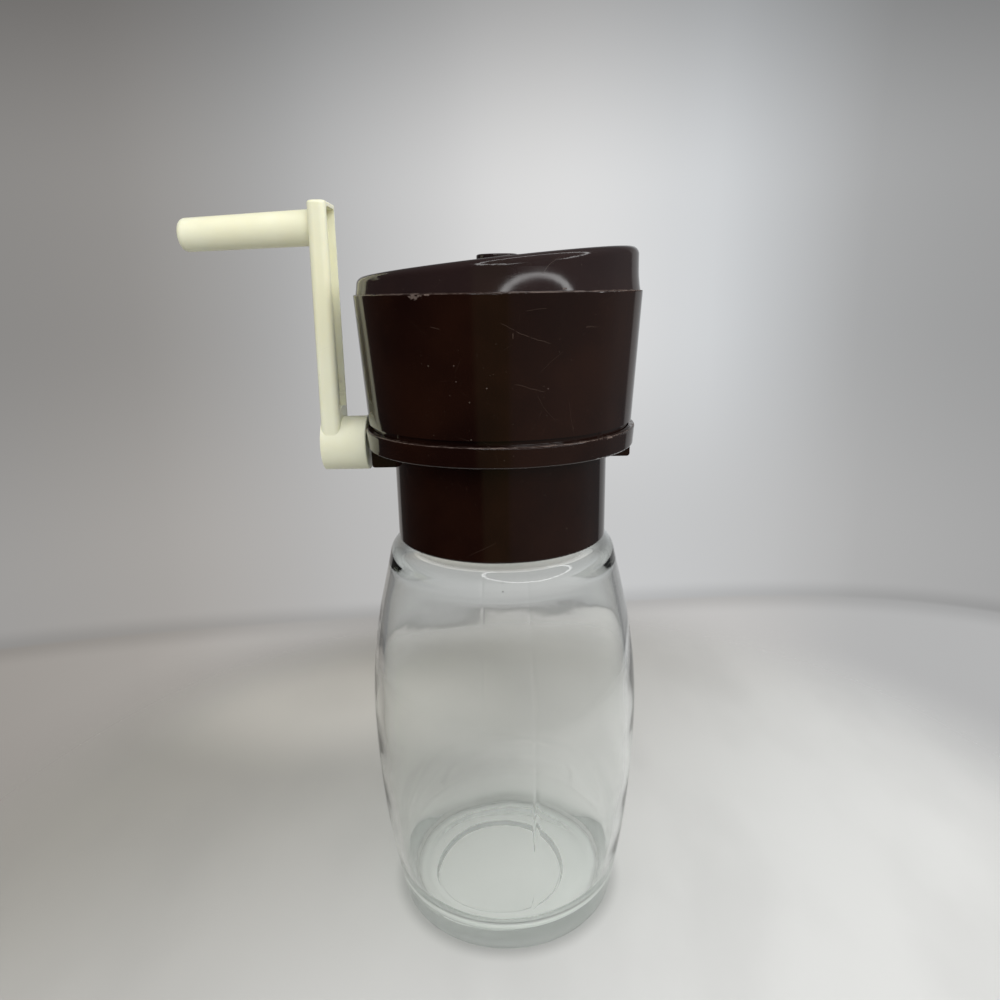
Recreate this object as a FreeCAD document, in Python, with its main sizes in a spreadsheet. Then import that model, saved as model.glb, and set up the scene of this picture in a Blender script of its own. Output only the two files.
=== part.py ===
import FreeCAD, Part
import math
import os

import Sketcher

# Hand cranked spice mill: a barrel shaped glass jar, and a screwed on plastic head that holds
# a hopper, a slanted lid, and a toothed rotor on a cross shaft between two fixed combs.
# Millimetres and degrees. The origin is the middle of the jar's base on the table, +Z up.
# The crank is on the -X side, and the front of the mill looks along -Y.

# Driving dimensions: name, number, meaning
SIZES = [
    ("jar_belly_radius", 39.3, "widest outer radius of the glass"),
    ("jar_belly_height", 61.7, "height of the widest ring above the table"),
    ("jar_foot_radius", 33.0, "outer radius of the glass at the table, before its rounding"),
    ("jar_shoulder_height", 116.2, "height of the ledge under the neck"),
    ("jar_ledge", 4.3, "width of the ledge round the neck"),
    ("jar_wall", 2.6, "glass thickness of the side wall"),
    ("jar_shoulder_wall", 2.6, "glass thickness of the ledge"),
    ("jar_base_thickness", 4.5, "height of the inner floor above the table"),
    ("jar_heel_round", 1.5, "outer rounding at the base"),
    ("jar_floor_round", 11.0, "inner rounding between floor and wall"),
    ("jar_shoulder_round", 1.6, "outer rounding of the ledge"),
    ("jar_inner_shoulder_round", 3.0, "inner rounding under the ledge"),
    ("jar_lip_round", 0.8, "rounding of the mouth's lip"),
    ("jar_rest_width", 3.1, "width of the ring that the jar stands on"),
    ("jar_push_up_height", 2.2, "depth of the hollow under the base"),
    ("jar_neck_radius", 25.1, "outer radius of the neck between the threads"),
    ("jar_neck_wall", 2.8, "glass thickness of the neck"),
    ("jar_finish_height", 13.4, "height of the neck above the ledge"),
    ("thread_pitch", 4.2, "rise of the neck thread in one turn"),
    ("jar_thread_turns", 1.25, "turns of the ridge on the glass"),
    ("jar_thread_rib", 1.1, "section radius of the ridge on the glass"),
    ("jar_thread_start", 5.2, "start of the glass ridge above the ledge"),
    ("collar_thread_turns", 1.0, "turns of the ridge in the collar"),
    ("collar_thread_rib", 0.9, "section radius of the ridge in the collar"),
    ("thread_clearance", 0.55, "gap between the glass ridge and the collar's bore"),
    ("gasket_thickness", 1.4, "height of the sealing ring"),
    ("gasket_wall", 3.2, "radial width of the sealing ring"),
    ("gasket_clearance", 0.4, "gap between the sealing ring and the collar's bore"),
    ("collar_wall", 2.5, "thickness of the collar's skirt"),
    ("collar_shoulder_gap", 0.3, "gap between the glass ledge and the collar"),
    ("collar_edge_round", 0.5, "rounding of the collar's lower edge"),
    ("deck_thickness", 1.8, "thickness of the plate that presses on the seal"),
    ("chamber_height", 11.5, "height from the plate's underside to the ring's underside"),
    ("ring_overhang", 7.45, "reach of the ring beyond the collar"),
    ("ring_taper", 0.4, "how much narrower the ring is at its underside"),
    ("ring_height", 5.2, "height of the ring"),
    ("ring_floor", 2.4, "thickness of the ring's floor"),
    ("ring_wall", 1.6, "thickness of the ring's upstand"),
    ("ring_flat_depth", 0.8, "depth of the ring's flat beside the crank's hub"),
    ("ring_edge_round", 0.5, "rounding of the ring's edges"),
    ("block_width", 11.0, "width of a bearing block"),
    ("block_setback", 1.5, "how far a bearing block ends inside the ring"),
    ("left_block_wall", 1.9, "plastic under the left bush"),
    ("right_block_wall", 0.9, "plastic under the right bush"),
    ("block_corner_round", 0.8, "rounding of a bearing block's outer lower edge"),
    ("shaft_above_ring", 0.1, "height of the shaft's axis above the ring's underside"),
    ("throat_wall", 1.8, "thickness of the throat's end walls"),
    ("throat_corner_gap", 0.15, "gap between the throat's corners and the jar's mouth, seen from above"),
    ("throat_corner_angle", 35.6, "direction of the throat's corners from the shaft's line"),
    ("throat_side_room", 2.4, "gap between the rotor's teeth and the throat's long walls"),
    ("throat_end_room", 3.4, "gap between the rotor and the throat's end walls"),
    ("hopper_ring_gap", 1.4, "shadow gap between the ring and the hopper's wall"),
    ("hopper_overhang", 0.65, "how far the hopper's wall stands out over the ring's inside"),
    ("hopper_flare", 2.05, "growth of the hopper's radius from its foot to its rim"),
    ("hopper_wall_height", 33.1, "height of the hopper's visible wall"),
    ("hopper_wall", 1.8, "thickness of the hopper's wall"),
    ("hopper_rim_round", 0.35, "rounding of the hopper's rim"),
    ("spigot_clearance", 0.3, "gap between the hopper's foot and the ring's upstand"),
    ("spigot_wall", 1.6, "thickness of the hopper's foot"),
    ("hopper_floor_height", 6.0, "height of the hopper's floor above the ring's floor"),
    ("hopper_floor_thickness", 1.8, "thickness of the hopper's floor"),
    ("funnel_radius", 21.5, "radius of the flat part of the hopper's floor"),
    ("funnel_rise", 6.5, "height of the slope round the hopper's floor"),
    ("funnel_round", 2.0, "rounding between the slope and the wall"),
    ("chute_side_room", 1.7, "gap between the rotor's teeth and the chute's long walls"),
    ("chute_end_room", 2.4, "gap between the rotor and the chute's end walls"),
    ("chute_wall", 1.2, "thickness of the chute's walls"),
    ("chute_gap", 0.2, "gap between the chute and the throat"),
    ("lid_setback", 0.65, "how far the lid's wall stands inside the hopper's rim"),
    ("lid_flare_height", 5.4, "height of the flared foot of the lid's wall"),
    ("lid_flare_curve", 32.0, "radius of the hollow curve of the flared foot"),
    ("lid_draft", 0.8, "lean of the lid's wall above its flared foot"),
    ("lid_height", 7.6, "height of the lid's top above the rim at the middle"),
    ("lid_slope", 5.3, "tilt of the lid's top, rising away from the crank"),
    ("lid_wall", 1.8, "thickness of the lid"),
    ("lid_edge_round", 2.0, "rounding of the lid's top edge"),
    ("lid_plug_depth", 5.0, "reach of the lid's plug into the hopper"),
    ("lid_plug_wall", 1.6, "thickness of the lid's plug"),
    ("lid_plug_clearance", 0.65, "gap between the plug and the hopper at the rim"),
    ("lid_button_radius", 5.5, "radius of the round button on the lid"),
    ("lid_button_height", 2.05, "height of the button above the lid's top"),
    ("lid_button_round", 0.5, "rounding of the button"),
    ("crank_clearance", 0.4, "gap between the ring's flat and the crank's hub"),
    ("crank_hub_radius", 7.4, "radius of the crank's hub"),
    ("crank_hub_length", 12.3, "length of the crank's hub"),
    ("crank_hub_round", 0.4, "rounding of the hub's inner edge"),
    ("crank_throw", 56.6, "distance from the shaft's axis to the grip's root"),
    ("crank_arm_foot_thickness", 5.4, "thickness of the arm at the shaft's axis"),
    ("crank_arm_thickness", 4.7, "thickness of the arm at its top"),
    ("crank_arm_foot_step", 0.15, "step between the hub's outer face and the arm"),
    ("crank_arm_setback", 1.1, "how far the arm's top stands back from the hub's outer face"),
    ("crank_arm_width", 13.3, "width of the arm"),
    ("crank_arm_tip", 6.1, "reach of the arm above the grip's axis"),
    ("crank_arm_round", 1.6, "rounding of the arm's long edges"),
    ("crank_arm_top_round", 0.7, "rounding of the arm's top edge"),
    ("crank_channel_wall", 2.0, "plastic left on both sides of the channel"),
    ("crank_channel_end", 1.3, "plastic left between the channel and the arm's top"),
    ("crank_channel_depth", 2.0, "depth of the channel at the arm's top"),
    ("crank_channel_corner", 1.2, "rounding of the channel's two top corners"),
    ("crank_channel_foot", 10.4, "radius of the round boss that ends the channel"),
    ("grip_length", 34.3, "length of the grip"),
    ("grip_root_radius", 4.55, "radius of the grip at the arm"),
    ("grip_tip_radius", 4.2, "radius of the grip at its free end"),
    ("grip_droop", 2.3, "angle by which the grip hangs down to its free end"),
    ("grip_tip_round", 1.8, "rounding of the grip's free end"),
    ("washer_radius", 3.9, "outer radius of the washer behind the crank"),
    ("washer_play", 0.1, "end gap on each side of the washer"),
    ("journal_radius", 2.7, "radius of the shaft in the left bush"),
    ("pilot_radius", 2.0, "radius of the shaft in the right bush"),
    ("pilot_end_gap", 0.4, "gap between the shaft's end and the closed bearing"),
    ("running_clearance", 0.04, "radial gap of a turning fit"),
    ("seat_clearance", 0.05, "gap of a piece that is seated and doesn't turn"),
    ("rotor_square", 4.6, "width of the shaft's square part in the rotor"),
    ("crank_square", 3.8, "width of the shaft's square end in the crank"),
    ("crank_square_length", 9.0, "length of the square end in the crank's hub"),
    ("shoulder_radius", 4.2, "radius of the shaft's two shoulders"),
    ("shoulder_width", 1.4, "width of a shoulder"),
    ("left_bush_radius", 4.2, "outer radius of the left bush"),
    ("right_bush_radius", 3.1, "outer radius of the right bush"),
    ("bush_flange", 1.3, "how far a bush's flange stands out"),
    ("bush_flange_width", 1.5, "width of a bush's flange"),
    ("bush_length", 9.2, "length of a bush beside its flange"),
    ("blind_wall", 1.6, "plastic that closes the right bearing"),
    ("blade_count", 8, "number of toothed blades"),
    ("blade_thickness", 1.2, "thickness of a blade"),
    ("blade_root_radius", 5.0, "radius of a blade between its teeth"),
    ("blade_tooth_half_angle", 9.0, "half the angle of a tooth at its tip"),
    ("blade_stagger", 11.25, "turn of the teeth against the square hole"),
    ("spacer_radius", 4.4, "radius of a spacer"),
    ("clip_thickness", 0.8, "thickness of the rotor's clip"),
    ("clip_radius", 4.6, "outer radius of the clip"),
    ("clip_groove_radius", 1.9, "radius at the bottom of the clip's groove"),
    ("clip_mouth", 3.0, "width of the clip's opening"),
    ("clip_play", 0.1, "gap beside the clip"),
    ("comb_thickness", 1.2, "thickness of a comb"),
    ("comb_overlap", 0.6, "how far a comb's strip stands in from the throat's long wall"),
    ("comb_wall_gap", 1.0, "gap between a comb's corners and the collar's bore"),
    ("comb_end_gap", 1.8, "gap between a comb's end and the throat's end wall"),
    ("comb_finger", 1.4, "width of a comb's finger"),
    ("comb_tip_gap", 0.5, "gap between a finger and a spacer"),
    ("comb_screw_inset", 4.2, "distance of a comb screw from the comb's end"),
    ("screw_radius", 1.45, "radius of a screw's shank"),
    ("screw_hole_clearance", 0.2, "gap between a shank and the hole it passes"),
    ("screw_head_radius", 2.6, "radius of a screw's head"),
    ("screw_head_height", 1.7, "height of a pan head"),
    ("screw_slot", 0.8, "width of a screw's slot"),
    ("screw_slot_depth", 0.7, "depth of a screw's slot"),
    ("comb_screw_length", 7.5, "length of a comb screw's shank"),
    ("hopper_screw_length", 9.0, "length of a hopper screw over all"),
    ("hopper_screw_angle", 45.0, "direction of a hopper screw from the shaft's line"),
    ("hopper_boss_radius", 3.0, "radius of a screw boss under the hopper"),
    ("hopper_boss_height", 10.5, "height of a screw boss"),
    ("crank_screw_length", 7.0, "length of the crank screw's shank"),
    ("crank_screw_recess", 2.3, "depth of the crank screw's recess"),
]

doc = FreeCAD.newDocument("spice_mill")
sheet = doc.addObject("Spreadsheet::Sheet", "Sizes")


class Size:
    """A size that knows its number and the expression that gives it."""

    def __init__(self, number, text):
        self.number = float(number)
        self.text = text

    def __add__(self, other):
        other = as_size(other)
        return Size(self.number + other.number, f"({self.text} + {other.text})")

    def __radd__(self, other):
        return as_size(other) + self

    def __sub__(self, other):
        other = as_size(other)
        return Size(self.number - other.number, f"({self.text} - {other.text})")

    def __rsub__(self, other):
        return as_size(other) - self

    def __mul__(self, other):
        other = as_size(other)
        return Size(self.number * other.number, f"({self.text} * {other.text})")

    def __rmul__(self, other):
        return as_size(other) * self

    def __truediv__(self, other):
        other = as_size(other)
        return Size(self.number / other.number, f"({self.text} / {other.text})")

    def __neg__(self):
        return Size(-self.number, f"(0 - {self.text})")


def as_size(value):
    """Give a plain number the same form as a named size."""
    if isinstance(value, Size):
        return value
    return Size(value, repr(float(value)))


def root(value):
    return Size(math.sqrt(value.number), f"sqrt({value.text})")


def cosine(angle):
    angle = as_size(angle)
    return Size(math.cos(math.radians(angle.number)), f"cos({angle.text})")


def sine(angle):
    angle = as_size(angle)
    return Size(math.sin(math.radians(angle.number)), f"sin({angle.text})")


def tangent(angle):
    angle = as_size(angle)
    return Size(math.tan(math.radians(angle.number)), f"tan({angle.text})")


def sagitta(radius, offset):
    """How far a circle falls away from its tangent at a distance along the tangent."""
    return radius - root(radius * radius - offset * offset)


def curve_radius(depth, offset):
    """The radius of the circle that falls away by depth at a distance along the tangent."""
    return (depth * depth + offset * offset) / (2 * depth)


def polar(radius, angle):
    return (radius * cosine(angle), radius * sine(angle))


class Names:
    """The sheet's sizes, each as an attribute."""


def read_sizes():
    """Write every size into the sheet and give them back by name."""
    names = Names()
    for row, (alias, number, meaning) in enumerate(SIZES, start=1):
        sheet.set(f"A{row}", alias)
        sheet.set(f"B{row}", str(number))
        sheet.set(f"C{row}", meaning)
        sheet.setAlias(f"B{row}", alias)
    doc.recompute()
    for alias, number, meaning in SIZES:
        setattr(names, alias, Size(sheet.get(alias), "Sizes." + alias))
    return names


size = read_sizes()


def bind(item, **sizes):
    """Tie properties of an object to sizes."""
    for prop, value in sizes.items():
        item.setExpression(prop, as_size(value).text)


def place(item, x=0, y=0, z=0):
    """Tie an object's position to sizes."""
    for axis, value in zip("xyz", (x, y, z)):
        item.setExpression("Placement.Base." + axis, as_size(value).text)
    return item


def box(name, low, high):
    """A box between two corners."""
    item = doc.addObject("Part::Box", name)
    bind(item, Length=high[0] - low[0], Width=high[1] - low[1], Height=high[2] - low[2])
    return place(item, *low)


def upright_rod(name, radius, x, y, low, high):
    """A cylinder along Z."""
    item = doc.addObject("Part::Cylinder", name)
    bind(item, Radius=radius, Height=high - low)
    return place(item, x, y, low)


def cross_rod(name, radius, start, end, height):
    """A cylinder along X in the middle plane."""
    item = doc.addObject("Part::Cylinder", name)
    bind(item, Radius=radius, Height=end - start)
    item.Placement = FreeCAD.Placement(FreeCAD.Vector(), FreeCAD.Rotation(FreeCAD.Vector(0, 1, 0), 90))
    return place(item, start, 0, height)


def joined(name, pieces):
    item = doc.addObject("Part::MultiFuse", name)
    item.Shapes = pieces
    return item


def cut_away(name, base, cutters):
    """Take several solids away from one."""
    item = doc.addObject("Part::Cut", name)
    item.Base = base
    item.Tool = joined(name + "_cutters", cutters) if len(cutters) > 1 else cutters[0]
    return item


def common_part(name, pieces):
    """What several solids have in common."""
    item = doc.addObject("Part::MultiCommon", name)
    item.Shapes = pieces
    return item


def grouped(name, pieces):
    """Keep identical pieces together as separate solids."""
    item = doc.addObject("Part::Compound", name)
    item.Links = pieces
    return item


def new_body(name):
    return doc.addObject("PartDesign::Body", name)


def new_sketch(body, name, role, offset=None):
    """A sketch on one of the body's own planes, moved along the plane's normal by offset."""
    sketch = body.newObject("Sketcher::SketchObject", name)
    plane = next(item for item in body.Origin.OriginFeatures if item.Role == role)
    sketch.AttachmentSupport = [(plane, "")]
    sketch.MapMode = "FlatFace"
    if offset is not None:
        sketch.setExpression("AttachmentOffset.Base.z", as_size(offset).text)
    return sketch


def fix_point(sketch, side, end, point):
    """Fix one end of a side at its distances from the sketch's origin."""
    axes = (("DistanceX", -2), ("DistanceY", -1))
    for (kind, axis), value in zip(axes, point):
        value = as_size(value)
        if abs(value.number) < 1e-9:
            sketch.addConstraint(Sketcher.Constraint("PointOnObject", side, end, axis))
            continue
        if value.number > 0:
            index = sketch.addConstraint(Sketcher.Constraint(kind, -1, 1, side, end, value.number))
            sketch.setExpression(f"Constraints[{index}]", value.text)
        else:
            index = sketch.addConstraint(Sketcher.Constraint(kind, side, end, -1, 1, -value.number))
            sketch.setExpression(f"Constraints[{index}]", (-value).text)


def arc_between(start, end, radius):
    """The short arc from start to end, counterclockwise when its radius is positive."""
    chord = end - start
    middle = (start + end) * 0.5
    rise = math.sqrt(max(radius * radius - chord.Length ** 2 / 4, 0.0))
    left = FreeCAD.Vector(-chord.y, chord.x, 0).normalize()
    centre = middle + left * (rise if radius > 0 else -rise)
    first, last = (start, end) if radius > 0 else (end, start)
    angles = [math.atan2(point.y - centre.y, point.x - centre.x) for point in (first, last)]
    circle = Part.Circle(centre, FreeCAD.Vector(0, 0, 1), abs(radius))
    return Part.ArcOfCircle(circle, angles[0], angles[1])


def draw_outline(sketch, points, arcs=None):
    """Draw a closed outline. arcs gives the radius of each side that isn't straight."""
    arcs = arcs or {}
    count = len(points)
    spots = [FreeCAD.Vector(as_size(x).number, as_size(y).number, 0) for x, y in points]
    sides = []
    for number in range(count):
        start, end = spots[number], spots[(number + 1) % count]
        if number in arcs:
            radius = arcs[number]
            side = sketch.addGeometry(arc_between(start, end, radius.number))
            sides.append((side, 1, 2) if radius.number > 0 else (side, 2, 1))
        else:
            sides.append((sketch.addGeometry(Part.LineSegment(start, end)), 1, 2))
    for number in range(count):
        side, first, last = sides[number]
        before, before_first, before_last = sides[number - 1]
        sketch.addConstraint(Sketcher.Constraint("Coincident", before, before_last, side, first))
        fix_point(sketch, side, first, points[number])
        if number in arcs:
            radius = arcs[number]
            index = sketch.addConstraint(Sketcher.Constraint("Radius", side, abs(radius.number)))
            positive = radius if radius.number > 0 else -radius
            sketch.setExpression(f"Constraints[{index}]", positive.text)


def draw_circle(sketch, centre, radius):
    """Draw a round hole or disc."""
    spot = FreeCAD.Vector(as_size(centre[0]).number, as_size(centre[1]).number, 0)
    side = sketch.addGeometry(Part.Circle(spot, FreeCAD.Vector(0, 0, 1), radius.number))
    fix_point(sketch, side, 3, centre)
    index = sketch.addConstraint(Sketcher.Constraint("Radius", side, radius.number))
    sketch.setExpression(f"Constraints[{index}]", radius.text)


def draw_square(sketch, half):
    """Draw a square round the sketch's origin."""
    draw_outline(sketch, [(-half, -half), (half, -half), (half, half), (-half, half)])


def turn(body, sketch, axis):
    """Turn a sketch round one of its axes into a solid."""
    feature = body.newObject("PartDesign::Revolution", sketch.Name + "_turned")
    feature.Profile = sketch
    feature.ReferenceAxis = (sketch, [axis])
    feature.Angle = 360.0
    return feature


def pad(body, sketch, length):
    """Raise a sketch along its plane's normal."""
    feature = body.newObject("PartDesign::Pad", sketch.Name + "_raised")
    feature.Profile = sketch
    bind(feature, Length=length)
    return feature


def sink(body, sketch, length):
    """Cut a sketch against its plane's normal, and make sure that it took material away."""
    doc.recompute()
    before = body.Shape.Volume
    feature = body.newObject("PartDesign::Pocket", sketch.Name + "_sunk")
    feature.Profile = sketch
    bind(feature, Length=length)
    doc.recompute()
    if body.Shape.Volume >= before:
        raise RuntimeError(f"{feature.Name} takes nothing away")
    return feature


def round_edges(body, name, radius, wanted):
    """Round the edges of a body that a test picks."""
    doc.recompute()
    base = body.Tip
    edges = [f"Edge{number}" for number, edge in enumerate(base.Shape.Edges, start=1) if wanted(edge)]
    if not edges:
        raise RuntimeError(f"{name} finds no edge")
    feature = body.newObject("PartDesign::Fillet", name)
    feature.Base = (base, edges)
    bind(feature, Radius=radius)
    return feature


def circle_of(edge):
    """The circle that an edge follows, or None."""
    if edge.Degenerated or not isinstance(edge.Curve, Part.Circle):
        return None
    return edge.Curve


def ring_at(radius, height):
    """A test for the round edge about Z of a radius at a height."""
    def wanted(edge):
        curve = circle_of(edge)
        if curve is None or abs(curve.Radius - radius.number) > 1e-4:
            return False
        return (curve.Center - FreeCAD.Vector(0, 0, as_size(height).number)).Length < 1e-4
    return wanted


def disc_edge_at(radius, x):
    """A test for the round edge about the X direction of a radius at a place along X."""
    def wanted(edge):
        curve = circle_of(edge)
        if curve is None or abs(curve.Radius - radius.number) > 1e-4:
            return False
        return abs(abs(curve.Axis.x) - 1) < 1e-6 and abs(curve.Center.x - as_size(x).number) < 1e-4
    return wanted


# Heights that several pieces share
lip_height = size.jar_shoulder_height + size.jar_finish_height
deck_underside = lip_height + size.gasket_thickness
deck_top = deck_underside + size.deck_thickness
ring_underside = deck_underside + size.chamber_height
ring_floor_top = ring_underside + size.ring_floor
ring_top = ring_underside + size.ring_height
shaft_height = ring_underside + size.shaft_above_ring
hopper_step = ring_top + size.hopper_ring_gap
rim_height = hopper_step + size.hopper_wall_height
hopper_floor_underside = ring_floor_top + size.hopper_floor_height
hopper_floor_top = hopper_floor_underside + size.hopper_floor_thickness
comb_underside = shaft_height - size.comb_thickness / 2

# Radii that several pieces share
mouth_radius = size.jar_neck_radius - size.jar_neck_wall
shoulder_radius = size.jar_neck_radius + size.jar_ledge
collar_bore = size.jar_neck_radius + size.jar_thread_rib + size.thread_clearance
collar_radius = collar_bore + size.collar_wall
ring_radius = collar_radius + size.ring_overhang
ring_flat = ring_radius - size.ring_flat_depth
ring_inside = ring_radius - size.ring_wall
block_end = ring_radius - size.block_setback
hopper_foot_radius = ring_inside + size.hopper_overhang
hopper_rim_radius = hopper_foot_radius + size.hopper_flare
spigot_outside = ring_inside - size.spigot_clearance
spigot_inside = spigot_outside - size.spigot_wall
hopper_screw_radius = (collar_radius + spigot_outside) / 2

# The throat is as long and wide as fits over the mouth, and the rotor fills it
throat_corner_radius = mouth_radius - size.throat_corner_gap
throat_half_length, throat_half_width = polar(throat_corner_radius, size.throat_corner_angle)
blade_tip_radius = throat_half_width - size.throat_side_room
rotor_end = throat_half_length - size.throat_end_room
rotor_start = -rotor_end
spacer_length = (2 * rotor_end - size.blade_count * size.blade_thickness) / (size.blade_count - 1)
rotor_pitch = size.blade_thickness + spacer_length

# Places along the shaft
hub_face = -(ring_flat + size.crank_clearance)
crank_face = hub_face - size.crank_hub_length
bush_flange_start = block_end - size.bush_length
bush_flange_end = bush_flange_start - size.bush_flange_width
right_bush_end = block_end - size.blind_wall
right_flange_start = right_bush_end - size.bush_length
right_flange_end = right_flange_start - size.bush_flange_width
shaft_end = right_bush_end - size.pilot_end_gap
clip_start = rotor_end + size.clip_play
clip_end = clip_start + size.clip_thickness

# Chute, combs and screw holes
chute_half_length = rotor_end + size.chute_end_room
chute_half_width = blade_tip_radius + size.chute_side_room
comb_half_length = throat_half_length - size.comb_end_gap
comb_inner_edge = throat_half_width - size.comb_overlap
comb_corner_reach = root(collar_bore * collar_bore - comb_half_length * comb_half_length)
comb_outer_edge = comb_corner_reach - size.comb_wall_gap
comb_middle = (comb_inner_edge + comb_outer_edge) / 2
tapped_radius = size.screw_radius + size.seat_clearance
passing_radius = size.screw_radius + size.screw_hole_clearance


# Glass jar
def neck_ridge(name, pitch, turns, rib, radius, start):
    """One helical ridge of round section."""
    path = doc.addObject("Part::Helix", name + "_path")
    bind(path, Pitch=pitch, Height=pitch * turns, Radius=radius)
    place(path, 0, 0, start)
    section = doc.addObject("Part::Circle", name + "_section")
    bind(section, Radius=rib)
    section.Placement = FreeCAD.Placement(
        FreeCAD.Vector(), FreeCAD.Rotation(FreeCAD.Vector(1, 0, 0), 90))
    place(section, radius, 0, start)
    ridge = doc.addObject("Part::Sweep", name)
    ridge.Sections = [section]
    ridge.Spine = (path, ["Edge1"])
    ridge.Solid = True
    ridge.Frenet = True
    return ridge


def make_glass_jar():
    """A barrel with a hollow under its base, a ledge and a threaded neck."""
    belly, height = size.jar_belly_radius, size.jar_belly_height
    foot_radius = size.jar_foot_radius
    shoulder = size.jar_shoulder_height
    lower_curve = curve_radius(belly - foot_radius, height)
    upper_curve = curve_radius(belly - shoulder_radius, shoulder - height)
    inner_belly = belly - size.jar_wall
    inner_lower = lower_curve - size.jar_wall
    inner_upper = upper_curve - size.jar_wall
    inner_shoulder = shoulder - size.jar_shoulder_wall
    inner_shoulder_radius = inner_belly - sagitta(inner_upper, inner_shoulder - height)
    floor_radius = inner_belly - sagitta(inner_lower, height - size.jar_base_thickness)
    hollow, rise = foot_radius - size.jar_heel_round - size.jar_rest_width, size.jar_push_up_height
    hollow_curve = curve_radius(rise, hollow)
    points = [
        (0, rise),
        (hollow, 0),
        (foot_radius, 0),
        (belly, height),
        (shoulder_radius, shoulder),
        (size.jar_neck_radius, shoulder),
        (size.jar_neck_radius, lip_height),
        (mouth_radius, lip_height),
        (mouth_radius, inner_shoulder),
        (inner_shoulder_radius, inner_shoulder),
        (inner_belly, height),
        (floor_radius, size.jar_base_thickness),
        (0, size.jar_base_thickness),
    ]
    arcs = {0: -hollow_curve, 2: lower_curve, 3: upper_curve, 9: -inner_upper, 10: -inner_lower}
    body = new_body("jar_wall_body")
    sketch = new_sketch(body, "jar_outline", "XZ_Plane")
    draw_outline(sketch, points, arcs)
    turn(body, sketch, "V_Axis")
    round_edges(body, "jar_heel", size.jar_heel_round, ring_at(foot_radius, 0))
    round_edges(body, "jar_floor_corner", size.jar_floor_round,
                ring_at(floor_radius, size.jar_base_thickness))
    round_edges(body, "jar_ledge", size.jar_shoulder_round, ring_at(shoulder_radius, shoulder))
    round_edges(body, "jar_ledge_inside", size.jar_inner_shoulder_round,
                ring_at(inner_shoulder_radius, inner_shoulder))
    round_edges(body, "jar_lip_outside", size.jar_lip_round, ring_at(size.jar_neck_radius, lip_height))
    round_edges(body, "jar_lip_inside", size.jar_lip_round, ring_at(mouth_radius, lip_height))
    ridge = neck_ridge("jar_thread", size.thread_pitch, size.jar_thread_turns, size.jar_thread_rib,
                       size.jar_neck_radius, shoulder + size.jar_thread_start)
    return joined("glass_jar", [body, ridge])


def make_jar_gasket():
    """A flat ring on the jar's lip."""
    outside = collar_bore - size.gasket_clearance
    body = new_body("jar_gasket")
    sketch = new_sketch(body, "gasket_outline", "XY_Plane")
    draw_circle(sketch, (0, 0), outside)
    draw_circle(sketch, (0, 0), outside - size.gasket_wall)
    pad(body, sketch, size.gasket_thickness)
    return place(body, 0, 0, lip_height)


# Screw collar with its ring, bearing blocks and throat
def collar_shell():
    """The turned part of the collar: skirt, plate and ring."""
    foot = size.jar_shoulder_height + size.collar_shoulder_gap
    ring_foot = ring_radius - size.ring_taper
    points = [
        (collar_radius, foot),
        (collar_radius, ring_underside),
        (ring_foot, ring_underside),
        (ring_radius, ring_top),
        (ring_inside, ring_top),
        (ring_inside, ring_floor_top),
        (collar_bore, ring_floor_top),
        (collar_bore, deck_top),
        (0, deck_top),
        (0, deck_underside),
        (collar_bore, deck_underside),
        (collar_bore, foot),
    ]
    body = new_body("collar_shell")
    sketch = new_sketch(body, "collar_outline", "XZ_Plane")
    draw_outline(sketch, points)
    turn(body, sketch, "V_Axis")
    round_edges(body, "collar_foot_edge", size.collar_edge_round, ring_at(collar_radius, foot))
    round_edges(body, "ring_foot_edge", size.ring_edge_round, ring_at(ring_foot, ring_underside))
    round_edges(body, "ring_top_edge", size.ring_edge_round, ring_at(ring_radius, ring_top))
    return body


def bearing_block(name, side, depth):
    """A block under the ring that carries one end of the shaft. side is -1 for left, 1 for right."""
    half = size.block_width / 2
    low = shaft_height - depth
    body = new_body(name)
    sketch = new_sketch(body, name + "_outline", "XZ_Plane", -half)
    inner, outer = side * throat_half_length, side * block_end
    points = [(inner, low), (outer, low), (outer, ring_floor_top), (inner, ring_floor_top)]
    draw_outline(sketch, points)
    pad(body, sketch, size.block_width)

    def wanted(edge):
        return (all(abs(vertex.Point.x - outer.number) < 1e-4 for vertex in edge.Vertexes)
                and all(abs(vertex.Point.z - low.number) < 1e-4 for vertex in edge.Vertexes))
    round_edges(body, name + "_edge", size.block_corner_round, wanted)
    return body


def bearing_seat(name, side, bush, sleeve_end, flange_end, relief_end):
    """The stepped half round seat of a bush, open at its top."""
    flange_start = sleeve_end - size.bush_length
    steps = [
        ("sleeve", bush + size.seat_clearance, flange_start, sleeve_end),
        ("flange", bush + size.bush_flange + size.seat_clearance, relief_end, flange_start),
        ("shaft", size.shoulder_radius + size.running_clearance, throat_half_length - size.seat_clearance,
         relief_end),
    ]
    cutters = []
    for step, radius, near, far in steps:
        start, end = (near, far) if side > 0 else (-far, -near)
        cutters.append(cross_rod(f"{name}_{step}_round", radius, start, end, shaft_height))
        cutters.append(box(f"{name}_{step}_slot", (start, -radius, shaft_height),
                           (end, radius, ring_top + size.hopper_ring_gap)))
    return cutters


def screw_places():
    """Middle of each hopper screw."""
    turns = (size.hopper_screw_angle, 180 - size.hopper_screw_angle,
             180 + size.hopper_screw_angle, 360 - size.hopper_screw_angle)
    return [polar(hopper_screw_radius, angle) for angle in turns]


def comb_screw_places():
    """Middle of each comb screw."""
    reach = comb_half_length - size.comb_screw_inset
    return [(end * reach, side * comb_middle) for side in (-1, 1) for end in (-1, 1)]


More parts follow.
